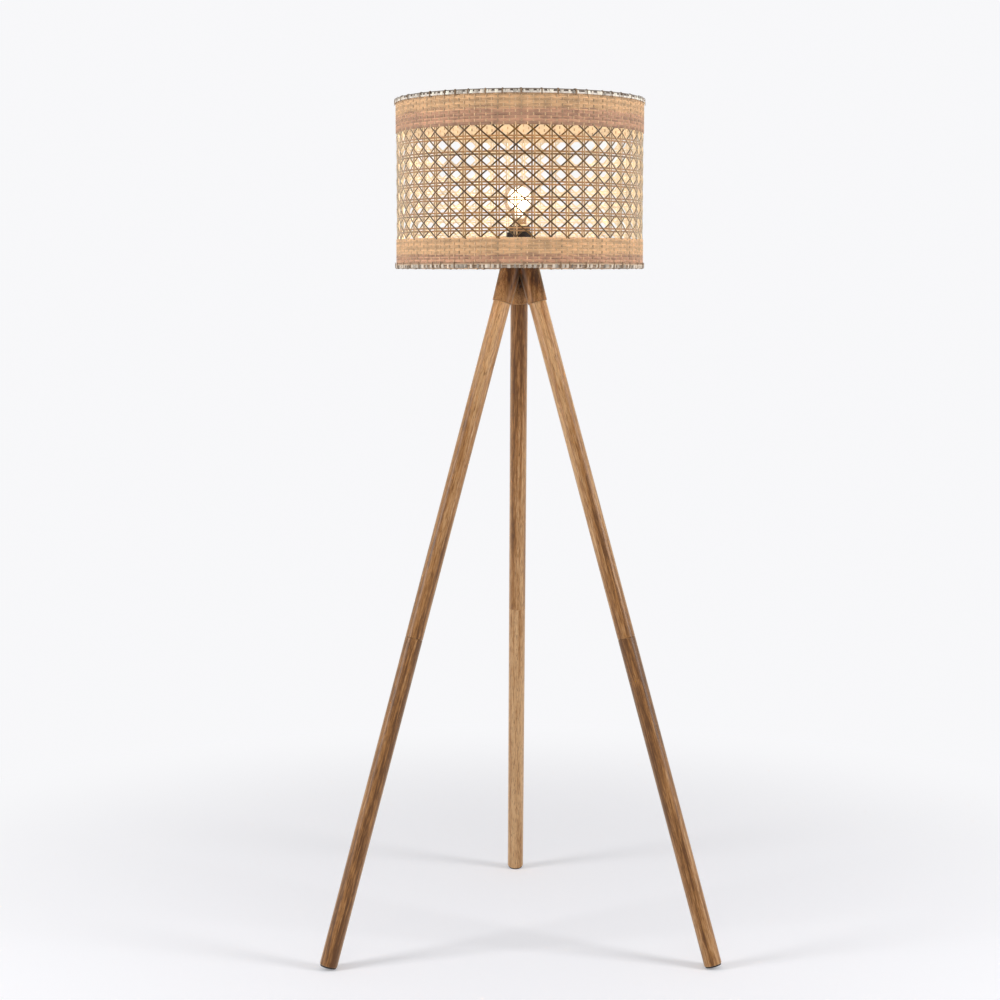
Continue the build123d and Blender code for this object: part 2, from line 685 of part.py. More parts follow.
def lamp():
    """Every piece of the lamp by its name. A list is a group of like pieces."""
    pieces = {
        "hub": hub(),
        "hub_inserts": hub_inserts(),
        "cord_bush": cord_bush(),
        "holder_plate": holder_plate(),
        "plate_screws": plate_screws(),
        "nipple": nipple(),
        "nipple_washer": nipple_washer(),
        "nipple_nut": nipple_nut(),
        "holder_cap": holder_cap(),
        "holder_shell": holder_shell(),
        "holder_insulator": holder_insulator(),
        "thread_sleeve": thread_sleeve(),
        "centre_contact": centre_contact(),
        "terminals": terminals(),
        "terminal_screws": terminal_screws(),
        "clamp_ring": clamp_ring(),
        "fitter_ring": fitter_ring(),
        "fitter_arms": fitter_arms(),
        "bottom_rim_wire": bottom_rim_wire(),
        "top_rim_wire": top_rim_wire(),
        "bottom_band": band(bottom_band_z, web_bottom_z),
        "webbing": webbing(),
        "top_band": band(web_top_z, top_band_z),
        "bottom_rim_hoop": rim_hoop(bottom_band_z),
        "top_rim_hoop": rim_hoop(top_band_z - HOOP_HEIGHT),
        "bottom_rim_lashing": bottom_rim_lashing(),
        "top_rim_lashing": top_rim_lashing(),
        "bulb_glass": bulb_glass(),
        "bulb_cap": bulb_cap(),
        "bulb_plug": bulb_plug(),
        "bulb_pip": bulb_pip(),
        "bulb_stem": bulb_stem(),
        "filaments": filaments(),
        "filament_support": filament_support(),
    }
    for side, azimuth in LEG_AZIMUTHS.items():
        plane = leg_plane(azimuth)
        pieces[f"upper_stud_{side}"] = plane * leg_stud(upper_top)
        pieces[f"upper_leg_{side}"] = plane * upper_leg()
        pieces[f"leg_insert_{side}"] = plane * threaded_insert(upper_end)
        pieces[f"lower_stud_{side}"] = plane * leg_stud(lower_top)
        pieces[f"lower_leg_{side}"] = plane * lower_leg()
        pieces[f"foot_pad_{side}"] = plane * foot_pad()
    return pieces


def main():
    os.makedirs("parts", exist_ok=True)
    for name, shape in lamp().items():
        if isinstance(shape, list):
            shape = Compound(children=shape)
        export_step(shape, f"parts/{name}.step", write_pcurves=False)


main()
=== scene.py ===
import json
import math
import random

import bmesh
import bpy
from mathutils import Matrix, Vector, noise


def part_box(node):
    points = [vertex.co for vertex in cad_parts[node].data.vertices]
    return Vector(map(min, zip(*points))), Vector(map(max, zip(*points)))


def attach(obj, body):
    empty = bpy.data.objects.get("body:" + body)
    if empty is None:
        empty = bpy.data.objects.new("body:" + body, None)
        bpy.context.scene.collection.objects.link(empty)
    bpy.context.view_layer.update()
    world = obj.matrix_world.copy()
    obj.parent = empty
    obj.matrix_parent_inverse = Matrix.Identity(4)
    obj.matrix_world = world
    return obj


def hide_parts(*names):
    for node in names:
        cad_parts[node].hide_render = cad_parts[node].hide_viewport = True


bl_info = {
    "name": "Cane Tripod Lamp",
    "version": (1, 0, 0),
    "blender": (4, 5, 0),
    "location": "View3D > Sidebar > Lamp",
    "description": "Dresses a tripod floor lamp with woven cane, oiled wood and a lit bulb",
    "category": "Object",
}

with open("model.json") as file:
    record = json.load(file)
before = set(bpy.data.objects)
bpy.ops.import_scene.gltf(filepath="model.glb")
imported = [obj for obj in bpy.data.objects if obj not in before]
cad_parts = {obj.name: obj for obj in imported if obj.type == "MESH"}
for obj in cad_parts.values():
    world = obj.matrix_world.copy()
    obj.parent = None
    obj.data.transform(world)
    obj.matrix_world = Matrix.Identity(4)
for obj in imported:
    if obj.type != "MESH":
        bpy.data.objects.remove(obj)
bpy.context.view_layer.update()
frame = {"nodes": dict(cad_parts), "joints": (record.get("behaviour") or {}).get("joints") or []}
NODES = frame["nodes"]
JOINTS = {joint["name"]: joint for joint in frame["joints"]}

MM = 0.001
UP = Vector((0.0, 0.0, 1.0))
SIDES = ("left", "right", "rear")

# Solids that the looks are measured from
WEB_LOW, WEB_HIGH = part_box("webbing")
BAND_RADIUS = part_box("top_band")[1].x
HUB_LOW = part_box("hub")[0]
GLASS_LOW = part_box("bulb_glass")[0]
FILAMENT_LOW, FILAMENT_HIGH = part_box("filaments")

# Attributes of vertices: place along, across and among the strands, and how near a reed's inner side
LAY = "lay"
INWARD = "inward"

# Points nearer than these become one, in rings of cane and in the threads of the studs
SEAM = 0.01 * MM
THREAD_SEAM = 0.02 * MM

# Faces across a strip of cane, which give it a ridge in its middle
STRIP_FACES = 2

# Sideways drift of strands: its frequency, and its step in the noise from one strand to the next
DRIFT_FREQUENCY = 22.0
DRIFT_STEP = 9.7

# Number of the lowest reed of a band among the strands
FIRST_REED = 40

# Seed of the turns of cane round the rims, and their spread in shares of their spacing, usual slant and width
RIM_SEED = 7
PLACE_SPREAD = (-0.3, 0.3)
SLANT_SPREAD = (-1.0, 3.0)
WIDTH_SPREAD = (0.4, 1.6)

# How much paler or darker than usual each leg piece is, at its lower and at its upper end
LEG_TONES = {
    "upper_leg_left": (-0.046, 0.075),
    "lower_leg_left": (-0.036, -0.042),
    "upper_leg_right": (-0.018, 0.073),
    "lower_leg_right": (0.015, -0.078),
    "upper_leg_rear": (0.012, -0.034),
    "lower_leg_rear": (0.098, 0.073),
}

# The same for the hub, at its lower ends and at its crown, and the height between; then its fall per metre of
# X, which is painted light that makes its left side paler and its right side darker
HUB_TONES = (0.114, -0.025)
HUB_FADE = 55.0 * MM
HUB_PAINTED_SIDE_LIGHT = 0.90

# Places in the noise, so that each leg piece and the hub have their own grain
LEG_GRAIN_STEP = 11.0
HUB_GRAIN = 40.0

# Width of the camera's sensor in millimetres
SENSOR_WIDTH = 36.0

# Point that the softboxes face, and their name, place, width, height and the setting that holds their power
AIM = Vector((0.0, 0.0, 0.85))
SOFTBOXES = (
    ("left softbox", Vector((-2.5, -1.1, 1.5)), 0.8, 1.7, "side_power"),
    ("right softbox", Vector((2.5, -1.1, 1.5)), 0.8, 1.7, "side_power"),
    ("front softbox", Vector((0.0, -2.6, 3.0)), 2.2, 1.4, "front_power"),
)


def length(name, description, default):
    """Property that holds a length in metres."""
    return bpy.props.FloatProperty(
        name=name, description=description, default=default, min=0.0, precision=5, unit="LENGTH")


def angle(name, description, degrees):
    """Property that holds an angle, given here in degrees."""
    return bpy.props.FloatProperty(
        name=name, description=description, default=math.radians(degrees), subtype="ANGLE")


def colour(name, description, default):
    """Property that holds a colour."""
    return bpy.props.FloatVectorProperty(
        name=name, description=description, default=default, size=3, min=0.0, max=1.0, subtype="COLOR")


def count(name, description, default):
    """Property that holds a number of like things."""
    return bpy.props.IntProperty(name=name, description=description, default=default, min=1)


def level(name, description, default):
    """Property that holds a plain number."""
    return bpy.props.FloatProperty(name=name, description=description, default=default, min=0.0)


def power(name, description, default):
    """Property that holds a lamp's power in watts."""
    return bpy.props.FloatProperty(
        name=name, description=description, default=default, min=0.0, subtype="POWER")


class WebbingSettings(bpy.types.PropertyGroup):
    """Sizes of the open cane webbing between the bands."""

    columns: count("Columns", "Holes in one row round the drum", 46)
    row_pitch: length("Row pitch", "Height from one row of holes to the next", 25.9 * MM)
    first_row: length("First row", "Drop of the first row of holes below the top band", 7.7 * MM)
    turn: angle("Turn", "Turn of the pattern round the drum", -89.0)
    straight_width: length("Straight width", "Width of an upright or a level strand", 2.9 * MM)
    slant_width: length("Slanting width", "Width of a slanting strand", 2.7 * MM)
    thickness: length("Thickness", "Thickness of a strand", 1.0 * MM)
    crown: length("Crown", "Rise of a strand's rounded outer face", 0.25 * MM)
    upright_gap: length("Upright gap", "Half the distance between the two uprights of a pair", 2.2 * MM)
    level_gap: length("Level gap", "Half the distance between the two level strands of a pair", 2.3 * MM)
    straight_weave: length("Straight weave", "How far straight strands swing in and out", 0.45 * MM)
    over_lift: length("Over lift", "How far out the outer slanting strands lie", 0.9 * MM)
    over_weave: length("Over weave", "How far the outer slanting strands swing in and out", 0.3 * MM)
    under_lift: length("Under lift", "How far in the inner slanting strands lie", 0.1 * MM)
    under_weave: length("Under weave", "How far the inner slanting strands swing in and out", 0.7 * MM)
    sink: length("Sink", "Depth of the weave's middle below the outer face of the wall", 1.0 * MM)
    wander: length("Wander", "How far a straight strand drifts sideways", 0.5 * MM)
    slant_wander: length("Slanting wander", "How far a slanting strand drifts sideways", 0.9 * MM)
    tuck: length("Tuck", "Length of a strand hidden in each band", 3.0 * MM)
    row_steps: count("Row steps", "Faces along an upright or slanting strand, from row to row", 12)
    column_steps: count("Column steps", "Faces along a level strand, from column to column", 10)


class BandSettings(bpy.types.PropertyGroup):
    """Sizes of the closely woven bands."""

    wall: length("Wall", "Depth of the wall's middle below the bands' outer face", 2.0 * MM)
    reed_height: length("Reed height", "Height of one row of reed", 2.54 * MM)
    reed_depth: length("Reed depth", "Thickness of a reed", 1.9 * MM)
    reed_fill: level("Reed fill", "Share of a row's height that the reed takes", 1.1)
    reed_sides: count("Reed sides", "Faces round a reed", 6)
    reed_steps: count("Reed steps", "Faces along a reed from one stake to the next", 4)
    stakes: count("Stakes", "Stakes in the width of one column of the webbing", 3)
    stake_width: length("Stake width", "Width of a stake", 2.5 * MM)
    stake_lift: length("Stake lift", "How far a stake lies outside the middle of the wall", 0.45 * MM)
    weave: length("Weave", "How far a reed swings in and out", 1.0 * MM)
    wander: length("Wander", "How far a reed drifts up and down", 0.22 * MM)
    top_red: level("Top red", "Share of the top band's height below which its reeds are redder", 0.62)
    bottom_red: level("Bottom red", "The same share of the bottom band's height", 0.46)
    red_fade: level("Red fade", "Share of a band's height over which the reeds turn redder", 0.22)


class RimSettings(bpy.types.PropertyGroup):
    """Sizes of the hoops and the turns of cane at the rims."""

    stitches: count("Stitches", "Stitches round one rim", 48)
    stitch_width: length("Stitch width", "Width of one stitch", 2.0 * MM)
    stitch_reach: length("Stitch reach", "Height of one stitch", 11.4 * MM)
    stitch_slant: angle("Stitch slant", "Lean of a stitch", 9.0)
    wraps: count("Wraps", "Turns of pale cane round one rim", 150)
    wrap_width: length("Wrap width", "Width of one turn of pale cane", 5.4 * MM)
    wrap_reach: length("Wrap reach", "Height of one turn of pale cane", 6.4 * MM)
    top_drop: length("Top drop", "How far the pale cane lies inside the upper rim's stitches", 2.1 * MM)
    bottom_drop: length("Bottom drop", "How far the pale cane lies inside the lower rim's stitches", 0.5 * MM)
    turn_thickness: length("Turn thickness", "Thickness of a stitch or a turn of pale cane", 0.6 * MM)
    turn_steps: count("Turn steps", "Faces along a stitch or a turn of pale cane", 18)
    wall: length("Wall", "Depth of a stitch's inner face below the bands' outer face", 4.4 * MM)
    hoop_crown: length("Hoop crown", "Rise of the hoop's rounded outer face", 0.5 * MM)
    hoop_trim: length("Hoop trim", "How much lower a hoop is than its solid, beside the band", 1.6 * MM)
    hoop_thickness: length("Hoop thickness", "Thickness of a hoop", 0.9 * MM)
    hoop_wander: length("Hoop wander", "How far a hoop drifts up and down", 0.2 * MM)
    hoop_steps: count("Hoop steps", "Faces along a hoop", 240)


class CaneColours(bpy.types.PropertyGroup):
    """Colours of the cane in the shade."""

    upright: colour("Uprights", "Upright strands", (0.40, 0.235, 0.100))
    level: colour("Level strands", "Level strands", (0.345, 0.170, 0.060))
    slanting: colour("Slanting strands", "Slanting strands", (0.084, 0.036, 0.003))
    band: colour("Band", "Golden reeds of the bands", (0.72, 0.440, 0.222))
    band_red: colour("Red reed", "Redder reeds in the lower part of each band", (0.56, 0.302, 0.178))
    stake: colour("Stake", "Stakes of the bands", (0.66, 0.45, 0.27))
    top_hoop: colour("Top hoop", "Pale hoop at the upper rim", (0.84, 0.75, 0.66))
    bottom_hoop: colour("Bottom hoop", "Browner hoop at the lower rim", (0.50, 0.35, 0.23))
    stitch: colour("Stitch", "Stitches over the hoops", (0.28, 0.18, 0.105))
    top_wrap: colour("Top wrap", "Pale cane wound round the upper rim", (0.93, 0.82, 0.69))
    bottom_wrap: colour("Bottom wrap", "Pale cane wound round the lower rim", (0.74, 0.63, 0.51))
    pith: colour("Pith", "Inner face of split cane and reed", (0.84, 0.70, 0.50))


class WoodColours(bpy.types.PropertyGroup):
    """Colours of the oiled wood."""

    pale: colour("Pale grain", "Palest grain of a leg", (0.62, 0.378, 0.186))
    middle: colour("Middle grain", "Usual tone of a leg", (0.330, 0.145, 0.040))
    dark: colour("Dark grain", "Darkest grain of a leg", (0.112, 0.040, 0.007))
    hub_pale: colour("Pale hub grain", "Palest grain of the hub", (0.40, 0.205, 0.080))
    hub_middle: colour("Middle hub grain", "Usual tone of the hub", (0.150, 0.062, 0.019))
    hub_dark: colour("Dark hub grain", "Darkest grain of the hub", (0.040, 0.014, 0.004))


class StudSettings(bpy.types.PropertyGroup):
    """Sizes of the thread on the leg studs."""

    radius: length("Radius", "Radius of the thread's crest", 4.0 * MM)
    depth: length("Depth", "Depth of the thread", 0.65 * MM)
    pitch: length("Pitch", "Rise of the thread in one turn", 1.25 * MM)
    stud: length("Length", "Length of a stud", 52.0 * MM)
    tip: length("Tip", "Chamfer at each end", 1.0 * MM)
    steps: count("Steps", "Faces in one turn of the thread", 20)


class FittingColours(bpy.types.PropertyGroup):
    """Colours of the fittings."""

    holder: colour("Lampholder", "Black lampholder and its ring", (0.016, 0.011, 0.009))
    steel: colour("Steel", "Blackened steel of the plate and the shade's carrier", (0.045, 0.042, 0.040))
    top_wire: colour("Top wire", "Dark wire in the upper rim", (0.17, 0.13, 0.098))
    bottom_wire: colour("Bottom wire", "Brown wire in the lower rim", (0.40, 0.29, 0.20))
    zinc: colour("Zinc", "Zinc plate on screws and studs", (0.56, 0.57, 0.60))
    brass: colour("Brass", "Inserts and contacts", (0.72, 0.50, 0.22))
    cap: colour("Bulb cap", "Cap and contact of the bulb", (0.68, 0.56, 0.34))
    support: colour("Support wire", "Wire that carries the filaments", (0.50, 0.44, 0.36))
    ceramic: colour("Insulator", "White insulator in the lampholder", (0.72, 0.70, 0.66))
    plug: colour("Bulb plug", "Black insulating plug of the bulb", (0.02, 0.018, 0.017))
    pad: colour("Foot pad", "Dark pad under each leg", (0.020, 0.018, 0.016))
    bush: colour("Bush", "Black bush in the hub", (0.015, 0.015, 0.015))


class BulbSettings(bpy.types.PropertyGroup):
    """Glow of the bulb, and sizes of the coils round its filaments."""

    glass: colour("Glass", "Clear glass", (0.004, 0.003, 0.002))
    neck: length("Neck", "Height in the glass at which its globe starts to glow", 22.0 * MM)
    shoulder: length("Shoulder", "Height in the glass at which its globe glows fully", 42.0 * MM)
    # Painted glow on the glass: amber for the filaments' light in the neck and at the globe's edge, white for
    # their glare
    neck_glow: colour("Neck glow", "Faint glow round the globe's middle", (0.026, 0.011, 0.0027))
    globe_glow: colour("Globe glow", "Glow in the globe's middle", (1.0, 0.90, 0.72))
    globe_strength: level("Globe strength", "Strength of the glass's glow", 14.0)
    # Painted glow of the glass stem, for the filaments' light on it
    stem_glow: colour("Stem glow", "Glow of the glass stem", (1.0, 0.62, 0.25))
    stem_strength: level("Stem strength", "Strength of the stem's glow", 0.5)
    filament: colour("Filament", "Filament itself", (1.0, 0.8, 0.5))
    deep_glow: colour("Deep glow", "Redder glow of a filament", (1.0, 0.62, 0.24))
    pale_glow: colour("Pale glow", "Paler glow of a filament", (1.0, 0.80, 0.46))
    filament_strength: level("Filament strength", "Strength of the filaments' glow", 9.0)
    coil_radius: length("Coil radius", "Radius of a coil", 3.4 * MM)
    coil_wire: length("Coil wire", "Radius of a coil's wire", 0.42 * MM)
    coil_sides: count("Coil sides", "Faces round a coil's wire", 6)
    coil_turns: count("Coil turns", "Turns of a coil", 16)
    coil_steps: count("Coil steps", "Faces in one turn of a coil", 14)
    coil_end: length("Coil end", "Length of a filament's end, in whose middle a coil ends", 4.0 * MM)
    light: colour("Light", "Colour of the bulb's light", (1.0, 0.80, 0.52))
    light_power: power("Light power", "Power of the bulb's light", 3.5)
    light_radius: length("Light radius", "Radius of the bulb's light", 20.0 * MM)


class StageSettings(bpy.types.PropertyGroup):
    """Camera, floor and light."""

    lens: bpy.props.FloatProperty(
        name="Lens", description="Focal length on a 36 mm wide frame", default=69.1,
        subtype="DISTANCE_CAMERA")
    camera_place: bpy.props.FloatVectorProperty(
        name="Camera", description="Place of the camera", default=(-0.066, -3.531, 1.229), size=3,
        subtype="TRANSLATION")
    camera_dip: angle("Dip", "Camera's dip below the horizon", 6.53)
    camera_swing: angle("Swing", "Camera's swing to the right", 0.49)
    floor: colour("Floor", "Pale floor", (0.80, 0.80, 0.83))
    floor_glow: level("Floor glow", "White added to the floor, for the camera alone", 0.20)
    floor_radius: length("Floor radius", "Radius of the floor", 12.0)
    floor_sides: count("Floor sides", "Edges round the floor", 96)
    fade_start: length("Fade start", "Distance at which the floor starts to fade into the background", 0.45)
    fade_end: length("Fade end", "Distance at which the floor is the background", 1.7)
    white: colour("White", "Pale background", (0.936, 0.936, 0.952))
    ambient: level("Ambient", "Strength of the even light from all round", 0.42)
    side_power: power("Side power", "Power of each side softbox", 46.0)
    front_power: power("Front power", "Power of the softbox over the camera", 7.0)


class Number:
    """Number that changes over a surface. Arithmetic on it adds Math nodes."""

    def __init__(self, nodes, socket):
        self.nodes = nodes
        self.socket = socket

    def combine(self, operation, first, second):
        made = self.nodes.node("ShaderNodeMath", {"operation": operation}, {0: first, 1: second})
        return Number(self.nodes, made.outputs[0])

    def __add__(self, other):
        return self.combine("ADD", self, other)

    def __radd__(self, other):
        return self.combine("ADD", other, self)

    def __sub__(self, other):
        return self.combine("SUBTRACT", self, other)

    def __rsub__(self, other):
        return self.combine("SUBTRACT", other, self)

    def __mul__(self, other):
        return self.combine("MULTIPLY", self, other)

    def __rmul__(self, other):
        return self.combine("MULTIPLY", other, self)

    def largest(self, other):
        return self.combine("MAXIMUM", self, other)


class Nodes:
    """Node tree. All its new nodes come from its method node."""

    def __init__(self, tree):
        self.tree = tree

    def node(self, kind, settings=None, inputs=None):
        """Add a node: its settings first, then the values or links of its sockets."""
        made = self.tree.nodes.new(kind)
        for key, value in (settings or {}).items():
            if key == "stops":
                self.set_stops(made.color_ramp, value)
            else:
                setattr(made, key, value)
        for key, value in (inputs or {}).items():
            self.feed(made.inputs[key], value)
        return made

    def feed(self, socket, value):
        """Link a socket to another, or give it a value."""
        if isinstance(value, Number):
            value = value.socket
        if isinstance(value, bpy.types.NodeSocket):
            self.tree.links.new(value, socket)
        elif socket.type == "RGBA":
            socket.default_value = (*value, 1.0)
        else:
            socket.default_value = value

    def set_stops(self, ramp, stops):
        """Give a colour ramp its row of stops."""
        while len(ramp.elements) < len(stops):
            ramp.elements.new(1.0)
        for element, (position, value) in zip(ramp.elements, stops):
            element.position = position
            element.color = (*value, 1.0)

    def number(self, kind, settings, inputs, output):
        """Number that a new node puts out."""
        return Number(self, self.node(kind, settings, inputs).outputs[output])

    def mix(self, share, first, second):
        """Colour that runs from the first to the second."""
        inputs = {0: share, 6: first, 7: second}
        return self.node("ShaderNodeMix", {"data_type": "RGBA"}, inputs).outputs[2]

    def span(self, value, low, high, start=0.0, end=1.0):
        """Number that eases from start to end while value runs from low to high."""
        settings = {"interpolation_type": "SMOOTHSTEP"}
        inputs = {"Value": value, 1: low, 2: high, 3: start, 4: end}
        return self.number("ShaderNodeMapRange", settings, inputs, 0)

    def ramp(self, value, stops):
        """Colour picked from a row of stops."""
        return self.node("ShaderNodeValToRGB", {"stops": stops}, {"Fac": value}).outputs["Color"]

    def place(self, turn=(0.0, 0.0, 0.0)):
        """Object coordinates, turned about the origin."""
        where = self.node("ShaderNodeTexCoord").outputs["Object"]
        return self.node("ShaderNodeMapping", None, {"Vector": where, "Rotation": turn}).outputs["Vector"]

    def lay(self):
        """Place along, across and among the strands."""
        return self.node("ShaderNodeAttribute", {"attribute_name": LAY}).outputs["Vector"]

    def axis(self, where, name):
        """One coordinate of a place."""
        return self.number("ShaderNodeSeparateXYZ", None, {"Vector": where}, name)

    def grain(self, where, stretch, offset=0.0, detail=3.0, rough=0.55):
        """Noise whose frequency along each axis is given by stretch. Each offset gives other noise."""
        mapped = self.node("ShaderNodeMapping", None, {
            "Vector": where, "Scale": stretch, "Location": (offset, 1.7 * offset, 2.3 * offset)})
        inputs = {"Vector": mapped.outputs["Vector"], "Scale": 1.0, "Detail": detail, "Roughness": rough}
        return self.number("ShaderNodeTexNoise", None, inputs, "Fac")

    def chance(self, value):
        """Random number that belongs to a value."""
        return self.number("ShaderNodeTexWhiteNoise", {"noise_dimensions": "1D"}, {"W": value}, "Value")

    def facing(self, blend):
        """Zero where glass faces the eye, and one at its edge."""
        return self.number("ShaderNodeLayerWeight", None, {"Blend": blend}, "Facing")

    def seen_directly(self):
        """One for what the camera sees, also in a mirror or through glass, and zero for light."""
        path = self.node("ShaderNodeLightPath")
        camera = Number(self, path.outputs["Is Camera Ray"])
        glossy = Number(self, path.outputs["Is Glossy Ray"])
        through = Number(self, path.outputs["Is Transmission Ray"])
        return camera.largest(glossy).largest(through)


class Finish(Nodes):
    """Material with one Principled surface."""

    def __init__(self, name, constants):
        self.material = bpy.data.materials.new(name)
        self.material.use_nodes = True
        super().__init__(self.material.node_tree)
        self.surface = self.tree.nodes["Principled BSDF"]
        self.set(constants)

    def set(self, inputs):
        """Set or link sockets of the surface."""
        for key, value in inputs.items():
            self.feed(self.surface.inputs[key], value)

    def relief(self, height, strength, distance):
        """Bump the surface by a height that runs from 0 to 1."""
        inputs = {"Height": height, "Strength": strength, "Distance": distance}
        self.set({"Normal": self.node("ShaderNodeBump", None, inputs).outputs["Normal"]})


def scaled(tint, factor):
    """Colour made lighter or darker."""
    return tuple(min(1.0, factor * part) for part in tint)


def blended(first, second, share):
    """Colour between two others."""
    return tuple(start + share * (end - start) for start, end in zip(first, second))


def oiled_wood(name, tints, turn, offset, lift, coat):
    """Wood with its grain along Z after the turn. The lift makes it paler or darker; on the hub it also holds
    painted light on the left side.
    """
    pale, middle, dark = tints
    finish = Finish(name, {
        "Specular IOR Level": 0.15, "Coat Weight": coat, "Coat Roughness": 0.34, "Coat IOR": 1.32,
        "Sheen Weight": coat, "Sheen Roughness": 0.45, "Sheen Tint": (1.0, 0.80, 0.56),
    })
    where = finish.place(turn)
    broad = finish.grain(where, (75.0, 75.0, 2.6), offset, detail=2.0)
    streak = finish.grain(where, (260.0, 260.0, 11.0), offset + 3.1, detail=4.0, rough=0.6)
    dash = finish.grain(where, (480.0, 480.0, 44.0), offset + 5.3, rough=0.6)
    fine = finish.grain(where, (950.0, 950.0, 30.0), offset + 7.7)
    pore = finish.grain(where, (1150.0, 1150.0, 75.0), offset + 9.2, detail=1.0)
    tone = lift(finish) + 0.34 * broad + 0.28 * streak + 0.26 * dash + 0.12 * fine
    body = finish.ramp(tone, [
        (0.41, dark), (0.495, middle), (0.565, blended(middle, pale, 0.5)), (0.64, pale)])
    flecks = finish.span(pore, 0.57, 0.68)
    finish.set({
        "Base Color": finish.mix(0.7 * flecks, body, scaled(dark, 0.8)),
        "Roughness": 0.36 + 0.16 * flecks + 0.12 * fine,
    })
    finish.relief(0.6 * fine + 0.4 * (1.0 - flecks), strength=0.22, distance=0.5 * MM)
    return finish.material


def cane(name, tint, depth, offset, gloss=0.46, skin=0.08, light=1.22, bloom=0.0):
    """Split cane that varies from strand to strand and along each, with a glossy skin and a pale bloom.

    Depth and light are the shares of the tint's brightness that the darkest and the palest patches have.
    """
    finish = Finish(name, {
        "Specular IOR Level": 0.18, "Coat Weight": skin, "Coat Roughness": 0.30, "Coat IOR": 1.25,
        "Sheen Weight": bloom, "Sheen Roughness": 0.45, "Sheen Tint": (1.0, 0.90, 0.77),
    })
    lay = finish.lay()
    own = finish.chance(finish.axis(lay, "Z") + offset)
    patch = finish.grain(lay, (26.0, 90.0, 3.7), offset)
    fibre = finish.grain(lay, (110.0, 2600.0, 5.3), offset + 4.0, detail=2.0)
    mottle = finish.grain(lay, (60.0, 420.0, 6.1), offset + 8.0, detail=2.0)
    blotch = finish.span(mottle, 0.60, 0.74)
    tone = 0.34 * own + 0.42 * patch + 0.24 * fibre
    body = finish.ramp(tone, [(0.30, scaled(tint, depth)), (0.50, tint), (0.70, scaled(tint, light))])
    finish.set({
        "Base Color": finish.mix(0.45 * blotch, body, scaled(tint, 0.75 * depth)),
        "Roughness": gloss + 0.22 * fibre,
    })
    finish.relief(fibre, strength=0.25, distance=0.25 * MM)
    return finish.material


def satin_metal(name, tint, rough, metal=1.0, scratch=900.0):
    """Metal with fine drawn scratches and faint stains."""
    finish = Finish(name, {"Metallic": metal})
    where = finish.place()
    drawn = finish.grain(where, (scratch, scratch, 0.06 * scratch), detail=2.0)
    stain = finish.grain(where, (130.0, 130.0, 130.0), offset=5.0)
    tone = 0.35 * drawn + 0.65 * stain
    finish.set({
        "Base Color": finish.ramp(tone, [
            (0.30, scaled(tint, 0.72)), (0.55, tint), (0.75, scaled(tint, 1.12))]),
        "Roughness": rough - 0.08 + 0.16 * stain + 0.06 * drawn,
    })
    finish.relief(drawn, strength=0.12, distance=0.1 * MM)
    return finish.material


def moulded(name, tint, rough, texture=700.0, depth=0.15, shine=0.5):
    """Moulded plastic, ceramic or rubber with a fine skin."""
    finish = Finish(name, {"Specular IOR Level": shine})
    where = finish.place()
    skin = finish.grain(where, (texture, texture, texture))
    cloud = finish.grain(where, (60.0, 60.0, 60.0), offset=2.0)
    finish.set({
        "Base Color": finish.ramp(cloud, [(0.3, scaled(tint, 0.8)), (0.7, scaled(tint, 1.2))]),
        "Roughness": rough - 0.06 + 0.16 * cloud,
    })
    finish.relief(skin, strength=depth, distance=0.15 * MM)
    return finish.material


def dress(material, *names):
    """Give CAD nodes their finish."""
    for name in names:
        mesh = NODES[name].data
        mesh.materials.clear()
        mesh.materials.append(material)


def add_object(context, name, data):
    """Link a new object into the scene."""
    made = bpy.data.objects.new(name, data)
    context.scene.collection.objects.link(made)
    return made


def new_mesh(name, bm):
    """Turn a bmesh into a mesh."""
    mesh = bpy.data.meshes.new(name)
    bm.to_mesh(mesh)
    bm.free()
    return mesh


def add_piece(context, name, bm, body, material, replaced=(), smooth=True):
    """Turn a bmesh into a piece that rides a body."""
    mesh = new_mesh(name, bm)
    for face in mesh.polygons:
        face.use_smooth = smooth
    mesh.materials.append(material)
    piece = add_object(context, name, mesh)
    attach(piece, body)
    if replaced:
        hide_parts(*replaced)
    return piece


def add_cane(context, name, bm, material, replaced=(), thickness=None, inner=None):
    """Turn cane into a piece of the shade. Strips get a thickness, and their inner faces their own finish."""
    piece = add_piece(context, name, bm, "shade", material, replaced)
    if thickness:
        wall = piece.modifiers.new("Thickness", "SOLIDIFY")
        wall.thickness = thickness
        wall.offset = -1.0
        if inner:
            piece.data.materials.append(inner)
            wall.material_offset = 1
            wall.material_offset_rim = 1


class Drum:
    """Wall of the shade, unrolled: x runs round it, y is the height and z points outwards."""

    def __init__(self, radius, turn=0.0):
        self.radius = radius
        self.turn = turn
        self.girth = 2 * math.pi * radius

    def roll(self, x, y, z):
        """Place on the wall of a point on the unrolled sheet."""
        around = self.turn + x / self.radius
        return Vector(((self.radius + z) * math.cos(around), (self.radius + z) * math.sin(around), y))


def drift(point, strand):
    """Slow sideways drift of a strand, from -1 to 1."""
    return noise.noise(point * DRIFT_FREQUENCY + DRIFT_STEP * strand * UP)


def new_strip_mesh():
    """Empty bmesh whose vertices keep their place along, across and among the strands."""
    bm = bmesh.new()
    bm.verts.layers.float_vector.new(LAY)
    return bm


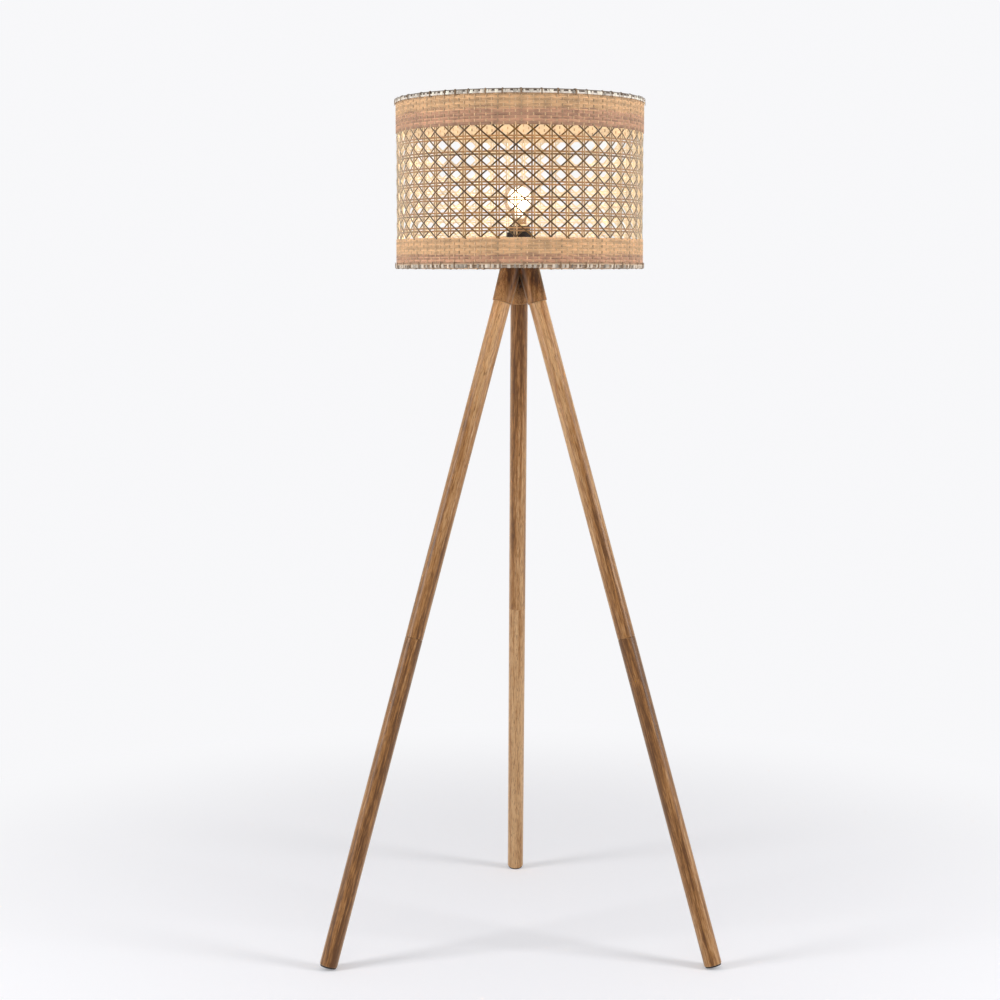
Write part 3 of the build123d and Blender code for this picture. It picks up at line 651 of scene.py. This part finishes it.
class Strips:
    """Strips of one kind of cane, laid on a drum with their rounded faces outwards."""

    def __init__(self, drum, width, crown, wander):
        self.drum = drum
        self.width = width
        self.crown = crown
        self.wander = wander
        self.bm = new_strip_mesh()

    def add(self, start, end, steps, strand, rise):
        """Lay a strip from start to end on the unrolled sheet. Rise gives how far out each place lies."""
        lay = self.bm.verts.layers.float_vector[LAY]
        run = end - start
        across = Vector((-run.y, run.x)).normalized()
        grid = bmesh.ops.create_grid(self.bm, x_segments=steps, y_segments=STRIP_FACES, size=0.5)
        for vert in grid["verts"]:
            share = vert.co.x + 0.5
            side = vert.co.y
            middle = start + share * run
            slide = self.wander * drift(self.drum.roll(middle.x, middle.y, 0.0), strand)
            flat = middle + across * (side * self.width + slide)
            bulge = self.crown * (1.0 - 4.0 * side * side)
            vert[lay] = (share * run.length, side * self.width, strand)
            vert.co = self.drum.roll(flat.x, flat.y, rise(middle) + bulge)

    def add_ring(self, height, steps, strand, rise):
        """Lay a strip all the way round."""
        self.add(Vector((0.0, height)), Vector((self.drum.girth, height)), steps, strand, rise)

    def close(self):
        """Join the ends of the strips that go all the way round."""
        bmesh.ops.remove_doubles(self.bm, verts=self.bm.verts, dist=SEAM)


def way_of(number):
    """Minus one for an even number and one for an odd number."""
    return 1.0 if number % 2 else -1.0


def swing(distance, gap):
    """Swing of a strand past a crossing pair: outwards on one side and inwards on the other."""
    share = distance / gap
    return share * math.exp(0.5 * (1.0 - share * share))


def past_middle(value, pitch):
    """Distance past the middle of the cell that a value lies in."""
    share = value / pitch
    return (share - math.floor(share) - 0.5) * pitch


class Web:
    """Layout of the webbing on its drum."""

    def __init__(self, sizes):
        self.sizes = sizes
        self.drum = Drum(WEB_HIGH.x - sizes.sink, sizes.turn)
        self.cell = self.drum.girth / sizes.columns
        self.first = WEB_HIGH.z - sizes.first_row
        self.low = WEB_LOW.z - sizes.tuck
        self.high = WEB_HIGH.z + sizes.tuck
        self.steps = round((self.high - self.low) / sizes.row_pitch * sizes.row_steps)

    def column(self, strand):
        """Middle of the pair that a strand belongs to."""
        return (strand // 2 + 0.5) * self.cell

    def straight_strips(self):
        """Strips as wide as uprights and level strands, with none laid yet."""
        return Strips(self.drum, self.sizes.straight_width, self.sizes.crown, self.sizes.wander)

    def uprights(self):
        """Upright pairs, which swing past the level pairs."""
        sizes = self.sizes
        strips = self.straight_strips()
        for strand in range(2 * sizes.columns):
            way = way_of(strand)
            x = self.column(strand) + way * sizes.upright_gap

            def rise(point):
                past = past_middle(point.y - self.first, sizes.row_pitch)
                return way * sizes.straight_weave * swing(past, sizes.level_gap)

            strips.add(Vector((x, self.low)), Vector((x, self.high)), self.steps, strand, rise)
        return strips.bm

    def levels(self):
        """Level pairs, which swing past the upright pairs."""
        sizes = self.sizes
        strips = self.straight_strips()
        rows = math.ceil((self.first - WEB_LOW.z) / sizes.row_pitch)
        for strand in range(2 * rows):
            way = way_of(strand)
            height = self.first - (strand // 2 + 0.5) * sizes.row_pitch + way * sizes.level_gap

            def rise(point):
                past = past_middle(point.x, self.cell)
                return -way * sizes.straight_weave * swing(past, sizes.upright_gap)

            strips.add_ring(height, sizes.column_steps * sizes.columns, strand, rise)
        strips.close()
        return strips.bm

    def slants(self):
        """Strands that slant both ways, one way outside the other."""
        sizes = self.sizes
        strips = Strips(self.drum, sizes.slant_width, sizes.crown, sizes.slant_wander)
        for strand in range(2 * sizes.columns):
            way = way_of(strand)

            def at(height):
                run = (height - self.first) / sizes.row_pitch * self.cell
                return Vector((self.column(strand) + way * run, height))

            def rise(point):
                wave = math.cos(2 * math.pi * point.x / self.cell)
                if way < 0:
                    return sizes.over_lift - sizes.over_weave * wave
                return -sizes.under_lift - sizes.under_weave * wave

            strips.add(at(self.low), at(self.high), self.steps, strand, rise)
        return strips.bm


class LAMP_OT_webbing(bpy.types.Operator):
    """Weave the open webbing: upright pairs, level pairs and strands that slant both ways"""

    bl_idname = "lamp.webbing"
    bl_label = "Cane webbing"

    def execute(self, context):
        sizes = context.scene.lamp_webbing
        tints = context.scene.lamp_cane
        web = Web(sizes)
        pith = cane("pale cane pith", tints.pith, depth=0.8, offset=4.0, gloss=0.6, bloom=0.6)
        pale = cane(
            "pale upright cane", tints.upright, depth=0.55, offset=1.0, skin=1.0, light=1.5, bloom=1.0)
        golden = cane(
            "golden level cane", tints.level, depth=0.5, offset=2.0, skin=1.0, light=1.5, bloom=1.0)
        dark = cane(
            "dark slanting cane", tints.slanting, depth=0.45, offset=3.0, gloss=0.42, skin=1.0, light=3.2,
            bloom=1.0)
        add_cane(context, "cane_uprights", web.uprights(), pale, ("webbing",), sizes.thickness, pith)
        add_cane(context, "cane_levels", web.levels(), golden, (), sizes.thickness, pith)
        add_cane(context, "cane_slants", web.slants(), dark, (), sizes.thickness, pith)
        return {"FINISHED"}


class Band:
    """Layout of a closely woven band: rows of reed that pass in front of and behind upright stakes."""

    def __init__(self, name, sizes, webbing):
        self.sizes = sizes
        self.webbing = webbing
        self.low, self.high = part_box(name + "_band")
        self.radius = self.high.x - sizes.wall
        height = self.high.z - self.low.z
        self.rows = round(height / sizes.reed_height)
        self.pitch = height / self.rows
        self.stake_count = sizes.stakes * webbing.columns

    def from_front(self, place):
        """Angle from the front of the drum, with its jump at a stake at the back."""
        around = math.atan2(place.y, place.x)
        jump = math.pi - math.pi / self.webbing.columns
        return jump - (self.webbing.turn + jump - around) % (2 * math.pi)

    def ring(self):
        """Closed ring of oval reed at height zero, by spinning its cross-section."""
        sizes = self.sizes
        bm = bmesh.new()
        section = bmesh.ops.create_circle(bm, segments=sizes.reed_sides, radius=0.5)["verts"]
        bmesh.ops.scale(bm, verts=section, vec=(sizes.reed_depth, sizes.reed_fill * self.pitch, 1.0))
        bmesh.ops.rotate(bm, verts=section, matrix=Matrix.Rotation(math.pi / 2, 3, "X"))
        bmesh.ops.translate(bm, verts=section, vec=(self.radius, 0.0, 0.0))
        bmesh.ops.spin(bm, geom=bm.verts[:] + bm.edges[:], cent=(0, 0, 0), axis=UP, angle=2 * math.pi,
                       steps=sizes.reed_steps * self.stake_count, use_merge=True)
        bmesh.ops.recalc_face_normals(bm, faces=bm.faces)
        return new_mesh("reed ring", bm)

    def reeds(self):
        """Reeds in pairs, in front of one stake and behind the next."""
        sizes = self.sizes
        ring = self.ring()
        bm = new_strip_mesh()
        inward = bm.verts.layers.float.new(INWARD)
        lay = bm.verts.layers.float_vector[LAY]
        for row in range(self.rows):
            strand = row + FIRST_REED
            height = self.low.z + (row + 0.5) * self.pitch
            first = len(bm.verts)
            bm.from_mesh(ring)
            bm.verts.ensure_lookup_table()
            for vert in bm.verts[first:]:
                around = self.from_front(vert.co)
                out = Vector((vert.co.x, vert.co.y, 0.0)).normalized()
                wave = way_of(row // 2) * sizes.weave * math.sin(0.5 * self.stake_count * around)
                drop = sizes.wander * drift(out * self.radius, strand)
                vert[lay] = (around * self.radius, vert.co.z, strand)
                vert[inward] = (self.radius - vert.co.dot(out)) / (0.5 * sizes.reed_depth)
                vert.co += out * wave + UP * (height + drop)
        bpy.data.meshes.remove(ring)
        return bm

    def stakes(self):
        """Upright stakes, evenly spaced."""
        sizes = self.sizes
        drum = Drum(self.radius, self.webbing.turn)
        strips = Strips(drum, sizes.stake_width, self.webbing.crown, sizes.wander)
        for strand in range(self.stake_count):
            x = (strand + 0.5) * drum.girth / self.stake_count
            strips.add(Vector((x, self.low.z)), Vector((x, self.high.z)), 2 * self.rows, strand,
                       lambda point: sizes.stake_lift)
        return strips.bm

    def reed_finish(self, name, red_share, tints):
        """Golden reed that turns redder in the lower part of its band, with pale pith inside, and paler and
        darker upright columns of painted light and shade.
        """
        finish = Finish(name, {
            "Specular IOR Level": 0.4, "Sheen Weight": 0.25, "Sheen Roughness": 0.6,
            "Sheen Tint": (1.0, 0.94, 0.86),
        })
        lay = finish.lay()
        height = finish.axis(finish.place(), "Z")
        own = finish.chance(finish.axis(lay, "Z"))
        patch = finish.grain(lay, (26.0, 90.0, 3.7), offset=1.0, detail=4.0)
        fibre = finish.grain(lay, (70.0, 1900.0, 5.3), offset=4.0, detail=2.0)
        sheet = finish.node("ShaderNodeCombineXYZ", None, {"X": finish.axis(lay, "X"), "Y": height})
        # Paler and darker upright columns: painted light and shade of reeds that bulge out over the stakes
        # and sink between them
        column = finish.grain(sheet.outputs["Vector"], (75.0, 16.0, 1.0), offset=7.0, detail=2.0)
        tone = 0.22 * own + 0.34 * patch + 0.20 * fibre + 0.24 * column
        gold = finish.ramp(tone, [
            (0.36, scaled(tints.band, 0.60)), (0.50, tints.band), (0.64, scaled(tints.band, 1.32))])
        red = finish.ramp(tone, [
            (0.38, scaled(tints.band_red, 0.50)), (0.50, tints.band_red),
            (0.64, scaled(tints.band_red, 1.45))])
        share = finish.span(height, self.low.z, self.high.z) + 0.5 * patch - 0.25
        redness = finish.span(share, red_share, red_share - self.sizes.red_fade)
        inward = finish.number("ShaderNodeAttribute", {"attribute_name": INWARD}, None, "Fac")
        finish.set({
            "Base Color": finish.mix(
                finish.span(inward, -0.1, 0.5), finish.mix(redness, gold, red), tints.pith),
            "Roughness": 0.50 + 0.2 * fibre,
        })
        finish.relief(fibre, strength=0.3, distance=0.3 * MM)
        return finish.material


class LAMP_OT_bands(bpy.types.Operator):
    """Weave the close bands: reeds in pairs that pass in front of and behind upright stakes"""

    bl_idname = "lamp.bands"
    bl_label = "Woven bands"

    def execute(self, context):
        sizes = context.scene.lamp_bands
        webbing = context.scene.lamp_webbing
        tints = context.scene.lamp_cane
        stake = cane("band stake", tints.stake, depth=0.6, offset=6.0)
        for name, red_share in (("top", sizes.top_red), ("bottom", sizes.bottom_red)):
            band = Band(name, sizes, webbing)
            reed = band.reed_finish(name + " band reed", red_share, tints)
            add_cane(context, name + "_reeds", band.reeds(), reed, (name + "_band",))
            add_cane(context, name + "_stakes", band.stakes(), stake, (), webbing.thickness)
        return {"FINISHED"}


class RimPath:
    """Path of a turn of cane: up the inside of a rim, over its wire and down the outside.

    Up is -1 at the lower rim, where the path is upside down.
    """

    def __init__(self, rim, up, sizes, reach, drop=0.0):
        low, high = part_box(rim + "_rim_lashing")
        inset = min(drop, sizes.turn_thickness)
        outer = high.x - inset
        inner = BAND_RADIUS - sizes.wall + inset
        self.up = up
        self.middle = 0.5 * (inner + outer)
        self.bend = 0.5 * (outer - inner)
        self.crest = high.z - drop if up > 0 else low.z + drop
        self.straight = reach - self.bend
        self.length = 2 * self.straight + math.pi * self.bend

    def at(self, along):
        """How far outside the middle of the rim a place along the path lies, and its height."""
        if along < self.straight:
            climb, out = along - self.straight, -self.bend
        elif along > self.length - self.straight:
            climb, out = self.length - self.straight - along, self.bend
        else:
            turn = (along - self.straight) / self.bend
            climb, out = self.bend * math.sin(turn), -self.bend * math.cos(turn)
        return out, self.crest + self.up * (climb - self.bend)


class LAMP_OT_rims(bpy.types.Operator):
    """Make the rim hoops, the pale cane wound round them and the stitches that tie them over the wires"""

    bl_idname = "lamp.rims"
    bl_label = "Rim hoops and stitches"

    def execute(self, context):
        sizes = context.scene.lamp_rims
        tints = context.scene.lamp_cane
        stitch = cane("stitch cane", tints.stitch, depth=0.6, offset=9.0)
        draws = random.Random(RIM_SEED)
        rims = (
            ("top", 1.0, sizes.top_drop, tints.top_hoop, tints.top_wrap),
            ("bottom", -1.0, sizes.bottom_drop, tints.bottom_hoop, tints.bottom_wrap),
        )
        for strand, (name, up, drop, hoop_tint, wrap_tint) in enumerate(rims, start=1):
            hoop = cane(name + " hoop cane", hoop_tint, depth=0.45, offset=8.0)
            wrap = cane(name + " wrapping cane", wrap_tint, depth=0.28, offset=10.0)
            ring = self.hoop(name, up, strand, sizes)
            add_cane(context, name + "_hoop", ring, hoop, (name + "_rim_hoop",), sizes.hoop_thickness)
            path = RimPath(name, up, sizes, sizes.stitch_reach)
            turns = self.turns(path, sizes.stitches, sizes.stitch_width, sizes, draws)
            lashing = (name + "_rim_lashing",)
            add_cane(context, name + "_stitches", turns, stitch, lashing, sizes.turn_thickness)
            path = RimPath(name, up, sizes, sizes.wrap_reach, drop)
            turns = self.turns(path, sizes.wraps, sizes.wrap_width, sizes, draws)
            add_cane(context, name + "_wrap", turns, wrap, (), sizes.turn_thickness)
        return {"FINISHED"}

    def hoop(self, name, up, strand, sizes):
        """Flat hoop with a rounded outer face, trimmed beside its band."""
        low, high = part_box(name + "_rim_hoop")
        width = high.z - low.z - sizes.hoop_trim
        middle = 0.5 * (low.z + high.z + up * sizes.hoop_trim)
        drum = Drum(high.x - sizes.hoop_crown)
        strips = Strips(drum, width, sizes.hoop_crown, sizes.hoop_wander)
        strips.add_ring(middle, sizes.hoop_steps, strand, lambda point: 0.0)
        strips.close()
        return strips.bm

    def turns(self, path, number_of, width, sizes, draws):
        """Turns of cane along a path, each with its own place, slant and width."""
        bm = new_strip_mesh()
        lay = bm.verts.layers.float_vector[LAY]
        for number in range(number_of):
            around = 2 * math.pi * (number + draws.uniform(*PLACE_SPREAD)) / number_of
            slant = math.tan(sizes.stitch_slant) * draws.uniform(*SLANT_SPREAD)
            own_width = width * draws.uniform(*WIDTH_SPREAD)
            grid = bmesh.ops.create_grid(bm, x_segments=sizes.turn_steps, y_segments=STRIP_FACES, size=0.5)
            for vert in grid["verts"]:
                along = (vert.co.x + 0.5) * path.length
                side = vert.co.y * own_width
                out, height = path.at(along)
                radius = path.middle + out
                turn = around + (side + slant * out) / radius
                vert[lay] = (along, side, number)
                vert.co = (radius * math.cos(turn), radius * math.sin(turn), height)
        bmesh.ops.recalc_face_normals(bm, faces=bm.faces)
        return bm


class LAMP_OT_wood(bpy.types.Operator):
    """Finish the legs and the hub in oiled wood"""

    bl_idname = "lamp.wood"
    bl_label = "Oiled wood"

    def execute(self, context):
        tints = context.scene.lamp_wood
        leg_tints = (tints.pale, tints.middle, tints.dark)
        for number, (name, tones) in enumerate(LEG_TONES.items()):
            low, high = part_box(name)
            turn = Vector(JOINTS[name + "_draw"]["axis"]).rotation_difference(-UP).to_euler()

            def lift(finish):
                return finish.span(finish.axis(finish.place(), "Z"), low.z, high.z, *tones)

            label = "oiled wood of " + name.replace("_", " ")
            dress(oiled_wood(label, leg_tints, turn, LEG_GRAIN_STEP * number, lift, coat=0.7), name)
        hub_tints = (tints.hub_pale, tints.hub_middle, tints.hub_dark)
        upright = (0.0, 0.0, 0.0)
        hub = oiled_wood("dark oiled hub wood", hub_tints, upright, HUB_GRAIN, self.hub_lift_and_painted_light, coat=0.25)
        dress(hub, "hub")
        return {"FINISHED"}

    @staticmethod
    def hub_lift_and_painted_light(finish):
        """Darker crown and paler lower ends, with painted light that makes the left side palest and the right
        side darkest.
        """
        place = finish.place()
        crown = finish.span(finish.axis(place, "Z"), HUB_LOW.z, HUB_LOW.z + HUB_FADE, *HUB_TONES)
        # Painted light: paler on the left side of the hub, darker on the right
        return crown - HUB_PAINTED_SIDE_LIGHT * finish.axis(place, "X")


class LAMP_OT_studs(bpy.types.Operator):
    """Cut the thread of the studs that hold the leg pieces"""

    bl_idname = "lamp.studs"
    bl_label = "Threaded studs"

    def execute(self, context):
        sizes = context.scene.lamp_studs
        finish = satin_metal("zinc stud thread", context.scene.lamp_fittings.zinc, rough=0.30)
        for side in SIDES:
            for part in ("upper", "lower"):
                body = part + "_stud_" + side
                low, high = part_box(body)
                axis = Vector(JOINTS[part + "_leg_" + side + "_draw"]["axis"])
                bm = self.thread(sizes)
                bmesh.ops.rotate(bm, verts=bm.verts, matrix=UP.rotation_difference(axis).to_matrix())
                bmesh.ops.translate(bm, verts=bm.verts, vec=0.5 * (low + high))
                name = part + "_thread_" + side
                add_piece(context, name, bm, body, finish, (body,), smooth=False)
        return {"FINISHED"}

    def thread(self, sizes):
        """Threaded bar along Z with its middle at the origin."""
        half = 0.5 * sizes.stud
        turns = math.ceil(sizes.stud / sizes.pitch) + 1
        root = sizes.radius - sizes.depth
        start = -half - sizes.pitch
        bm = bmesh.new()
        outline = [
            bm.verts.new((root, 0.0, start)),
            bm.verts.new((sizes.radius, 0.0, start + 0.5 * sizes.pitch)),
            bm.verts.new((root, 0.0, start + sizes.pitch)),
        ]
        edges = [bm.edges.new(pair) for pair in zip(outline, outline[1:])]
        bmesh.ops.spin(bm, geom=outline + edges, cent=(0, 0, 0), axis=UP, angle=2 * math.pi * turns,
                       dvec=UP * (sizes.pitch / sizes.steps), steps=turns * sizes.steps)
        for vert in bm.verts:
            vert.co.z = max(-half, min(half, vert.co.z))
            around = vert.co.to_2d()
            limit = sizes.radius - max(0.0, abs(vert.co.z) - half + sizes.tip)
            if around.length > limit:
                vert.co.xy = around * (limit / around.length)
        bmesh.ops.remove_doubles(bm, verts=bm.verts, dist=THREAD_SEAM)
        for end in (-half, half):
            disc = bmesh.ops.create_circle(
                bm, cap_ends=True, segments=sizes.steps, radius=sizes.radius - sizes.tip)
            bmesh.ops.translate(bm, verts=disc["verts"], vec=UP * end)
        bmesh.ops.recalc_face_normals(bm, faces=bm.faces)
        return bm


class LAMP_OT_fittings(bpy.types.Operator):
    """Finish the metal, plastic and rubber fittings"""

    bl_idname = "lamp.fittings"
    bl_label = "Fittings"

    def execute(self, context):
        tints = context.scene.lamp_fittings
        black = moulded("black lampholder", tints.holder, rough=0.34, shine=0.25)
        steel = satin_metal("blackened steel", tints.steel, rough=0.42)
        zinc = satin_metal("zinc plate", tints.zinc, rough=0.33)
        brass = satin_metal("brass", tints.brass, rough=0.28)
        cap = satin_metal("bulb cap", tints.cap, rough=0.3)
        pad = moulded("dark foot pad", tints.pad, rough=0.85, texture=1800.0, depth=0.6)
        dress(black, "holder_cap", "holder_shell", "clamp_ring")
        dress(steel, "holder_plate", "fitter_ring", "fitter_arms")
        dress(zinc, "plate_screws", "nipple", "nipple_washer", "nipple_nut", "terminal_screws")
        dress(brass, "hub_inserts", "thread_sleeve", "centre_contact", "terminals")
        dress(brass, *("leg_insert_" + side for side in SIDES))
        dress(cap, "bulb_cap", "bulb_pip")
        dress(pad, *("foot_pad_" + side for side in SIDES))
        dress(satin_metal("dark rim wire", tints.top_wire, rough=0.5, metal=0.2), "top_rim_wire")
        dress(satin_metal("brown rim wire", tints.bottom_wire, rough=0.5, metal=0.1), "bottom_rim_wire")
        dress(satin_metal("support wire", tints.support, rough=0.35), "filament_support")
        dress(moulded("white insulator", tints.ceramic, rough=0.3), "holder_insulator")
        dress(moulded("black bulb plug", tints.plug, rough=0.3), "bulb_plug")
        dress(moulded("black bush", tints.bush, rough=0.5), "cord_bush")
        return {"FINISHED"}


def middle_of(places):
    """Middle of a group of points."""
    return sum(places, Vector()) / len(places)


class LAMP_OT_bulb(bpy.types.Operator):
    """Finish the lit bulb and put its light at the filaments"""

    bl_idname = "lamp.bulb"
    bl_label = "Lit bulb"

    def execute(self, context):
        settings = context.scene.lamp_bulb
        self.finish_glass(settings)
        self.finish_stem(settings)
        glow = self.filament_finish(settings)
        dress(glow, "filaments")
        add_piece(context, "filament_coils", self.coils(settings), "bulb", glow)
        self.add_light(context, settings)
        return {"FINISHED"}

    def finish_glass(self, settings):
        """Clear glass with painted glow: white in the middle of its globe for the filaments' glare, and a
        faint amber glow on the neck and the globe's edge for the filaments' light in the glass.
        """
        glass = Finish("lit bulb glass", {
            "Base Color": settings.glass, "Roughness": 0.02, "IOR": 1.45,
            "Emission Strength": settings.globe_strength,
        })
        facing = glass.facing(blend=0.35)
        height = glass.axis(glass.place(), "Z")
        globe = glass.span(height, GLASS_LOW.z + settings.neck, GLASS_LOW.z + settings.shoulder)
        core = globe * glass.span(facing, 0.30, 0.04)
        glass.set({
            "Alpha": 0.32 + 0.12 * facing - 0.20 * globe,
            "Emission Color": glass.mix(core, settings.neck_glow, settings.globe_glow),
        })
        dress(glass.material, "bulb_glass")

    def finish_stem(self, settings):
        """Clear glass stem, with a painted glow for the filaments' light on it."""
        stem = Finish("stem glass", {
            "Base Color": settings.glass, "Roughness": 0.05, "IOR": 1.5,
            "Emission Color": settings.stem_glow, "Emission Strength": settings.stem_strength,
        })
        stem.set({"Alpha": 0.25 + 0.5 * stem.facing(blend=0.4)})
        dress(stem.material, "bulb_stem")

    def filament_finish(self, settings):
        """Glowing wire."""
        glow = Finish("glowing filament", {
            "Base Color": settings.filament, "Emission Strength": settings.filament_strength})
        coil = glow.grain(glow.place(), (400.0, 400.0, 2200.0))
        glow.set({"Emission Color": glow.mix(coil, settings.deep_glow, settings.pale_glow)})
        return glow.material

    def coils(self, settings):
        """Coil of fine wire round each filament."""
        bm = bmesh.new()
        places = [vert.co for vert in NODES["filaments"].data.vertices]
        for way_x in (1.0, -1.0):
            for way_y in (1.0, -1.0):
                own = [place for place in places if place.x * way_x > 0.0 and place.y * way_y > 0.0]
                foot = middle_of([place for place in own if place.z < FILAMENT_LOW.z + settings.coil_end])
                top = middle_of([place for place in own if place.z > FILAMENT_HIGH.z - settings.coil_end])
                self.wind(bm, foot, top, settings)
        bmesh.ops.recalc_face_normals(bm, faces=bm.faces)
        return bm

    def wind(self, bm, foot, top, settings):
        """Wind one coil from its foot to its top."""
        run = top - foot
        others = set(bm.verts)
        wire = bmesh.ops.create_circle(bm, segments=settings.coil_sides, radius=settings.coil_wire)
        section = wire["verts"]
        bmesh.ops.rotate(bm, verts=section, matrix=Matrix.Rotation(math.pi / 2, 3, "X"))
        bmesh.ops.translate(bm, verts=section, vec=(settings.coil_radius, 0.0, 0.0))
        edges = list(dict.fromkeys(edge for vert in section for edge in vert.link_edges))
        steps = settings.coil_turns * settings.coil_steps
        bmesh.ops.spin(bm, geom=section + edges, cent=(0, 0, 0), axis=UP, dvec=UP * (run.length / steps),
                       angle=2 * math.pi * settings.coil_turns, steps=steps)
        coil = [vert for vert in bm.verts if vert not in others]
        bmesh.ops.rotate(bm, verts=coil, matrix=UP.rotation_difference(run).to_matrix())
        bmesh.ops.translate(bm, verts=coil, vec=foot)

    def add_light(self, context, settings):
        """Light of the bulb, which moves with its glass."""
        light = bpy.data.lights.new("bulb light", "POINT")
        light.energy = settings.light_power
        light.color = settings.light
        light.shadow_soft_size = settings.light_radius
        lamp = add_object(context, "bulb light", light)
        lamp.location = (0.0, 0.0, 0.5 * (FILAMENT_LOW.z + FILAMENT_HIGH.z))
        lamp.parent = NODES["bulb_glass"]
        lamp.visible_camera = False


class LAMP_OT_stage(bpy.types.Operator):
    """Set up the camera, the pale floor and the soft light"""

    bl_idname = "lamp.stage"
    bl_label = "Stage"

    def execute(self, context):
        settings = context.scene.lamp_stage
        context.scene.view_settings.view_transform = "Standard"
        self.add_camera(context, settings)
        self.add_floor(context, settings)
        self.light_world(context, settings)
        for name, place, wide, tall, lamp_power in SOFTBOXES:
            self.add_softbox(context, name, place, wide, tall, getattr(settings, lamp_power))
        return {"FINISHED"}

    def add_camera(self, context, settings):
        """Camera at the photo's viewing angle."""
        camera = bpy.data.cameras.new("photo camera")
        camera.sensor_width = SENSOR_WIDTH
        camera.lens = settings.lens
        seat = add_object(context, "photo camera", camera)
        seat.location = settings.camera_place
        seat.rotation_euler = (math.pi / 2 - settings.camera_dip, 0.0, -settings.camera_swing)
        context.scene.camera = seat

    def add_floor(self, context, settings):
        """Pale floor that keeps the lamp's shadow and fades into the background."""
        bm = bmesh.new()
        bmesh.ops.create_circle(
            bm, cap_ends=True, segments=settings.floor_sides, radius=settings.floor_radius)
        mesh = new_mesh("floor", bm)
        mesh.materials.append(self.floor_finish(settings))
        add_object(context, "floor", mesh)

    def floor_finish(self, settings):
        """Matt floor, with white added for the camera and the background beyond the fade."""
        finish = Finish("pale floor", {
            "Roughness": 0.85, "Specular IOR Level": 0.15, "Emission Strength": 1.0})
        cloud = finish.grain(finish.place(), (1.5, 1.5, 1.5), detail=2.0)
        direct = finish.seen_directly()
        finish.set({
            "Base Color": finish.mix(cloud, scaled(settings.floor, 0.99), settings.floor),
            "Emission Color": finish.mix(settings.floor_glow * direct, (0.0, 0.0, 0.0), settings.white),
        })
        far = finish.number("ShaderNodeVectorMath", {"operation": "LENGTH"}, {0: finish.place()}, "Value")
        white = finish.node("ShaderNodeEmission", None, {"Color": settings.white, "Strength": 1.0})
        blend = finish.node("ShaderNodeMixShader", None, {
            0: finish.span(far, settings.fade_start, settings.fade_end) * direct,
            1: finish.surface.outputs[0],
            2: white.outputs[0],
        })
        finish.feed(finish.tree.nodes["Material Output"].inputs["Surface"], blend.outputs[0])
        return finish.material

    def light_world(self, context, settings):
        """Even light from all round, and a white background for the camera."""
        world = bpy.data.worlds.new("studio")
        world.use_nodes = True
        context.scene.world = world
        sky = Nodes(world.node_tree)
        back = world.node_tree.nodes["Background"]
        sky.feed(back.inputs["Color"], settings.white)
        sky.feed(back.inputs["Strength"], settings.ambient + (1.0 - settings.ambient) * sky.seen_directly())

    def add_softbox(self, context, name, place, wide, tall, watts):
        """Softbox that is aimed at the middle of the lamp."""
        light = bpy.data.lights.new(name, "AREA")
        light.shape = "RECTANGLE"
        light.size = wide
        light.size_y = tall
        light.energy = watts
        box = add_object(context, name, light)
        box.location = place
        box.rotation_euler = (AIM - place).to_track_quat("-Z", "Y").to_euler()


OPERATORS = (
    LAMP_OT_stage, LAMP_OT_webbing, LAMP_OT_bands, LAMP_OT_rims, LAMP_OT_wood, LAMP_OT_studs,
    LAMP_OT_fittings, LAMP_OT_bulb,
)
SETTINGS = {
    "lamp_webbing": WebbingSettings,
    "lamp_bands": BandSettings,
    "lamp_rims": RimSettings,
    "lamp_cane": CaneColours,
    "lamp_wood": WoodColours,
    "lamp_studs": StudSettings,
    "lamp_fittings": FittingColours,
    "lamp_bulb": BulbSettings,
    "lamp_stage": StageSettings,
}


class LAMP_PT_panel(bpy.types.Panel):
    """Lists the pieces of the lamp and their settings"""

    bl_label = "Cane Tripod Lamp"
    bl_idname = "LAMP_PT_panel"
    bl_space_type = "VIEW_3D"
    bl_region_type = "UI"
    bl_category = "Lamp"

    def draw(self, context):
        for operator in OPERATORS:
            self.layout.operator(operator.bl_idname)
        for name, group in SETTINGS.items():
            box = self.layout.box()
            for key in group.__annotations__:
                box.prop(getattr(context.scene, name), key)


def register():
    for name, group in SETTINGS.items():
        bpy.utils.register_class(group)
        setattr(bpy.types.Scene, name, bpy.props.PointerProperty(type=group))
    for made in (*OPERATORS, LAMP_PT_panel):
        bpy.utils.register_class(made)


def unregister():
    for made in (LAMP_PT_panel, *reversed(OPERATORS)):
        bpy.utils.unregister_class(made)
    for name, group in SETTINGS.items():
        delattr(bpy.types.Scene, name)
        bpy.utils.unregister_class(group)


def main():
    register()
    bpy.ops.lamp.stage()
    bpy.ops.lamp.webbing()
    bpy.ops.lamp.bands()
    bpy.ops.lamp.rims()
    bpy.ops.lamp.wood()
    bpy.ops.lamp.studs()
    bpy.ops.lamp.fittings()
    bpy.ops.lamp.bulb()


if __name__ == "__main__":
    main()
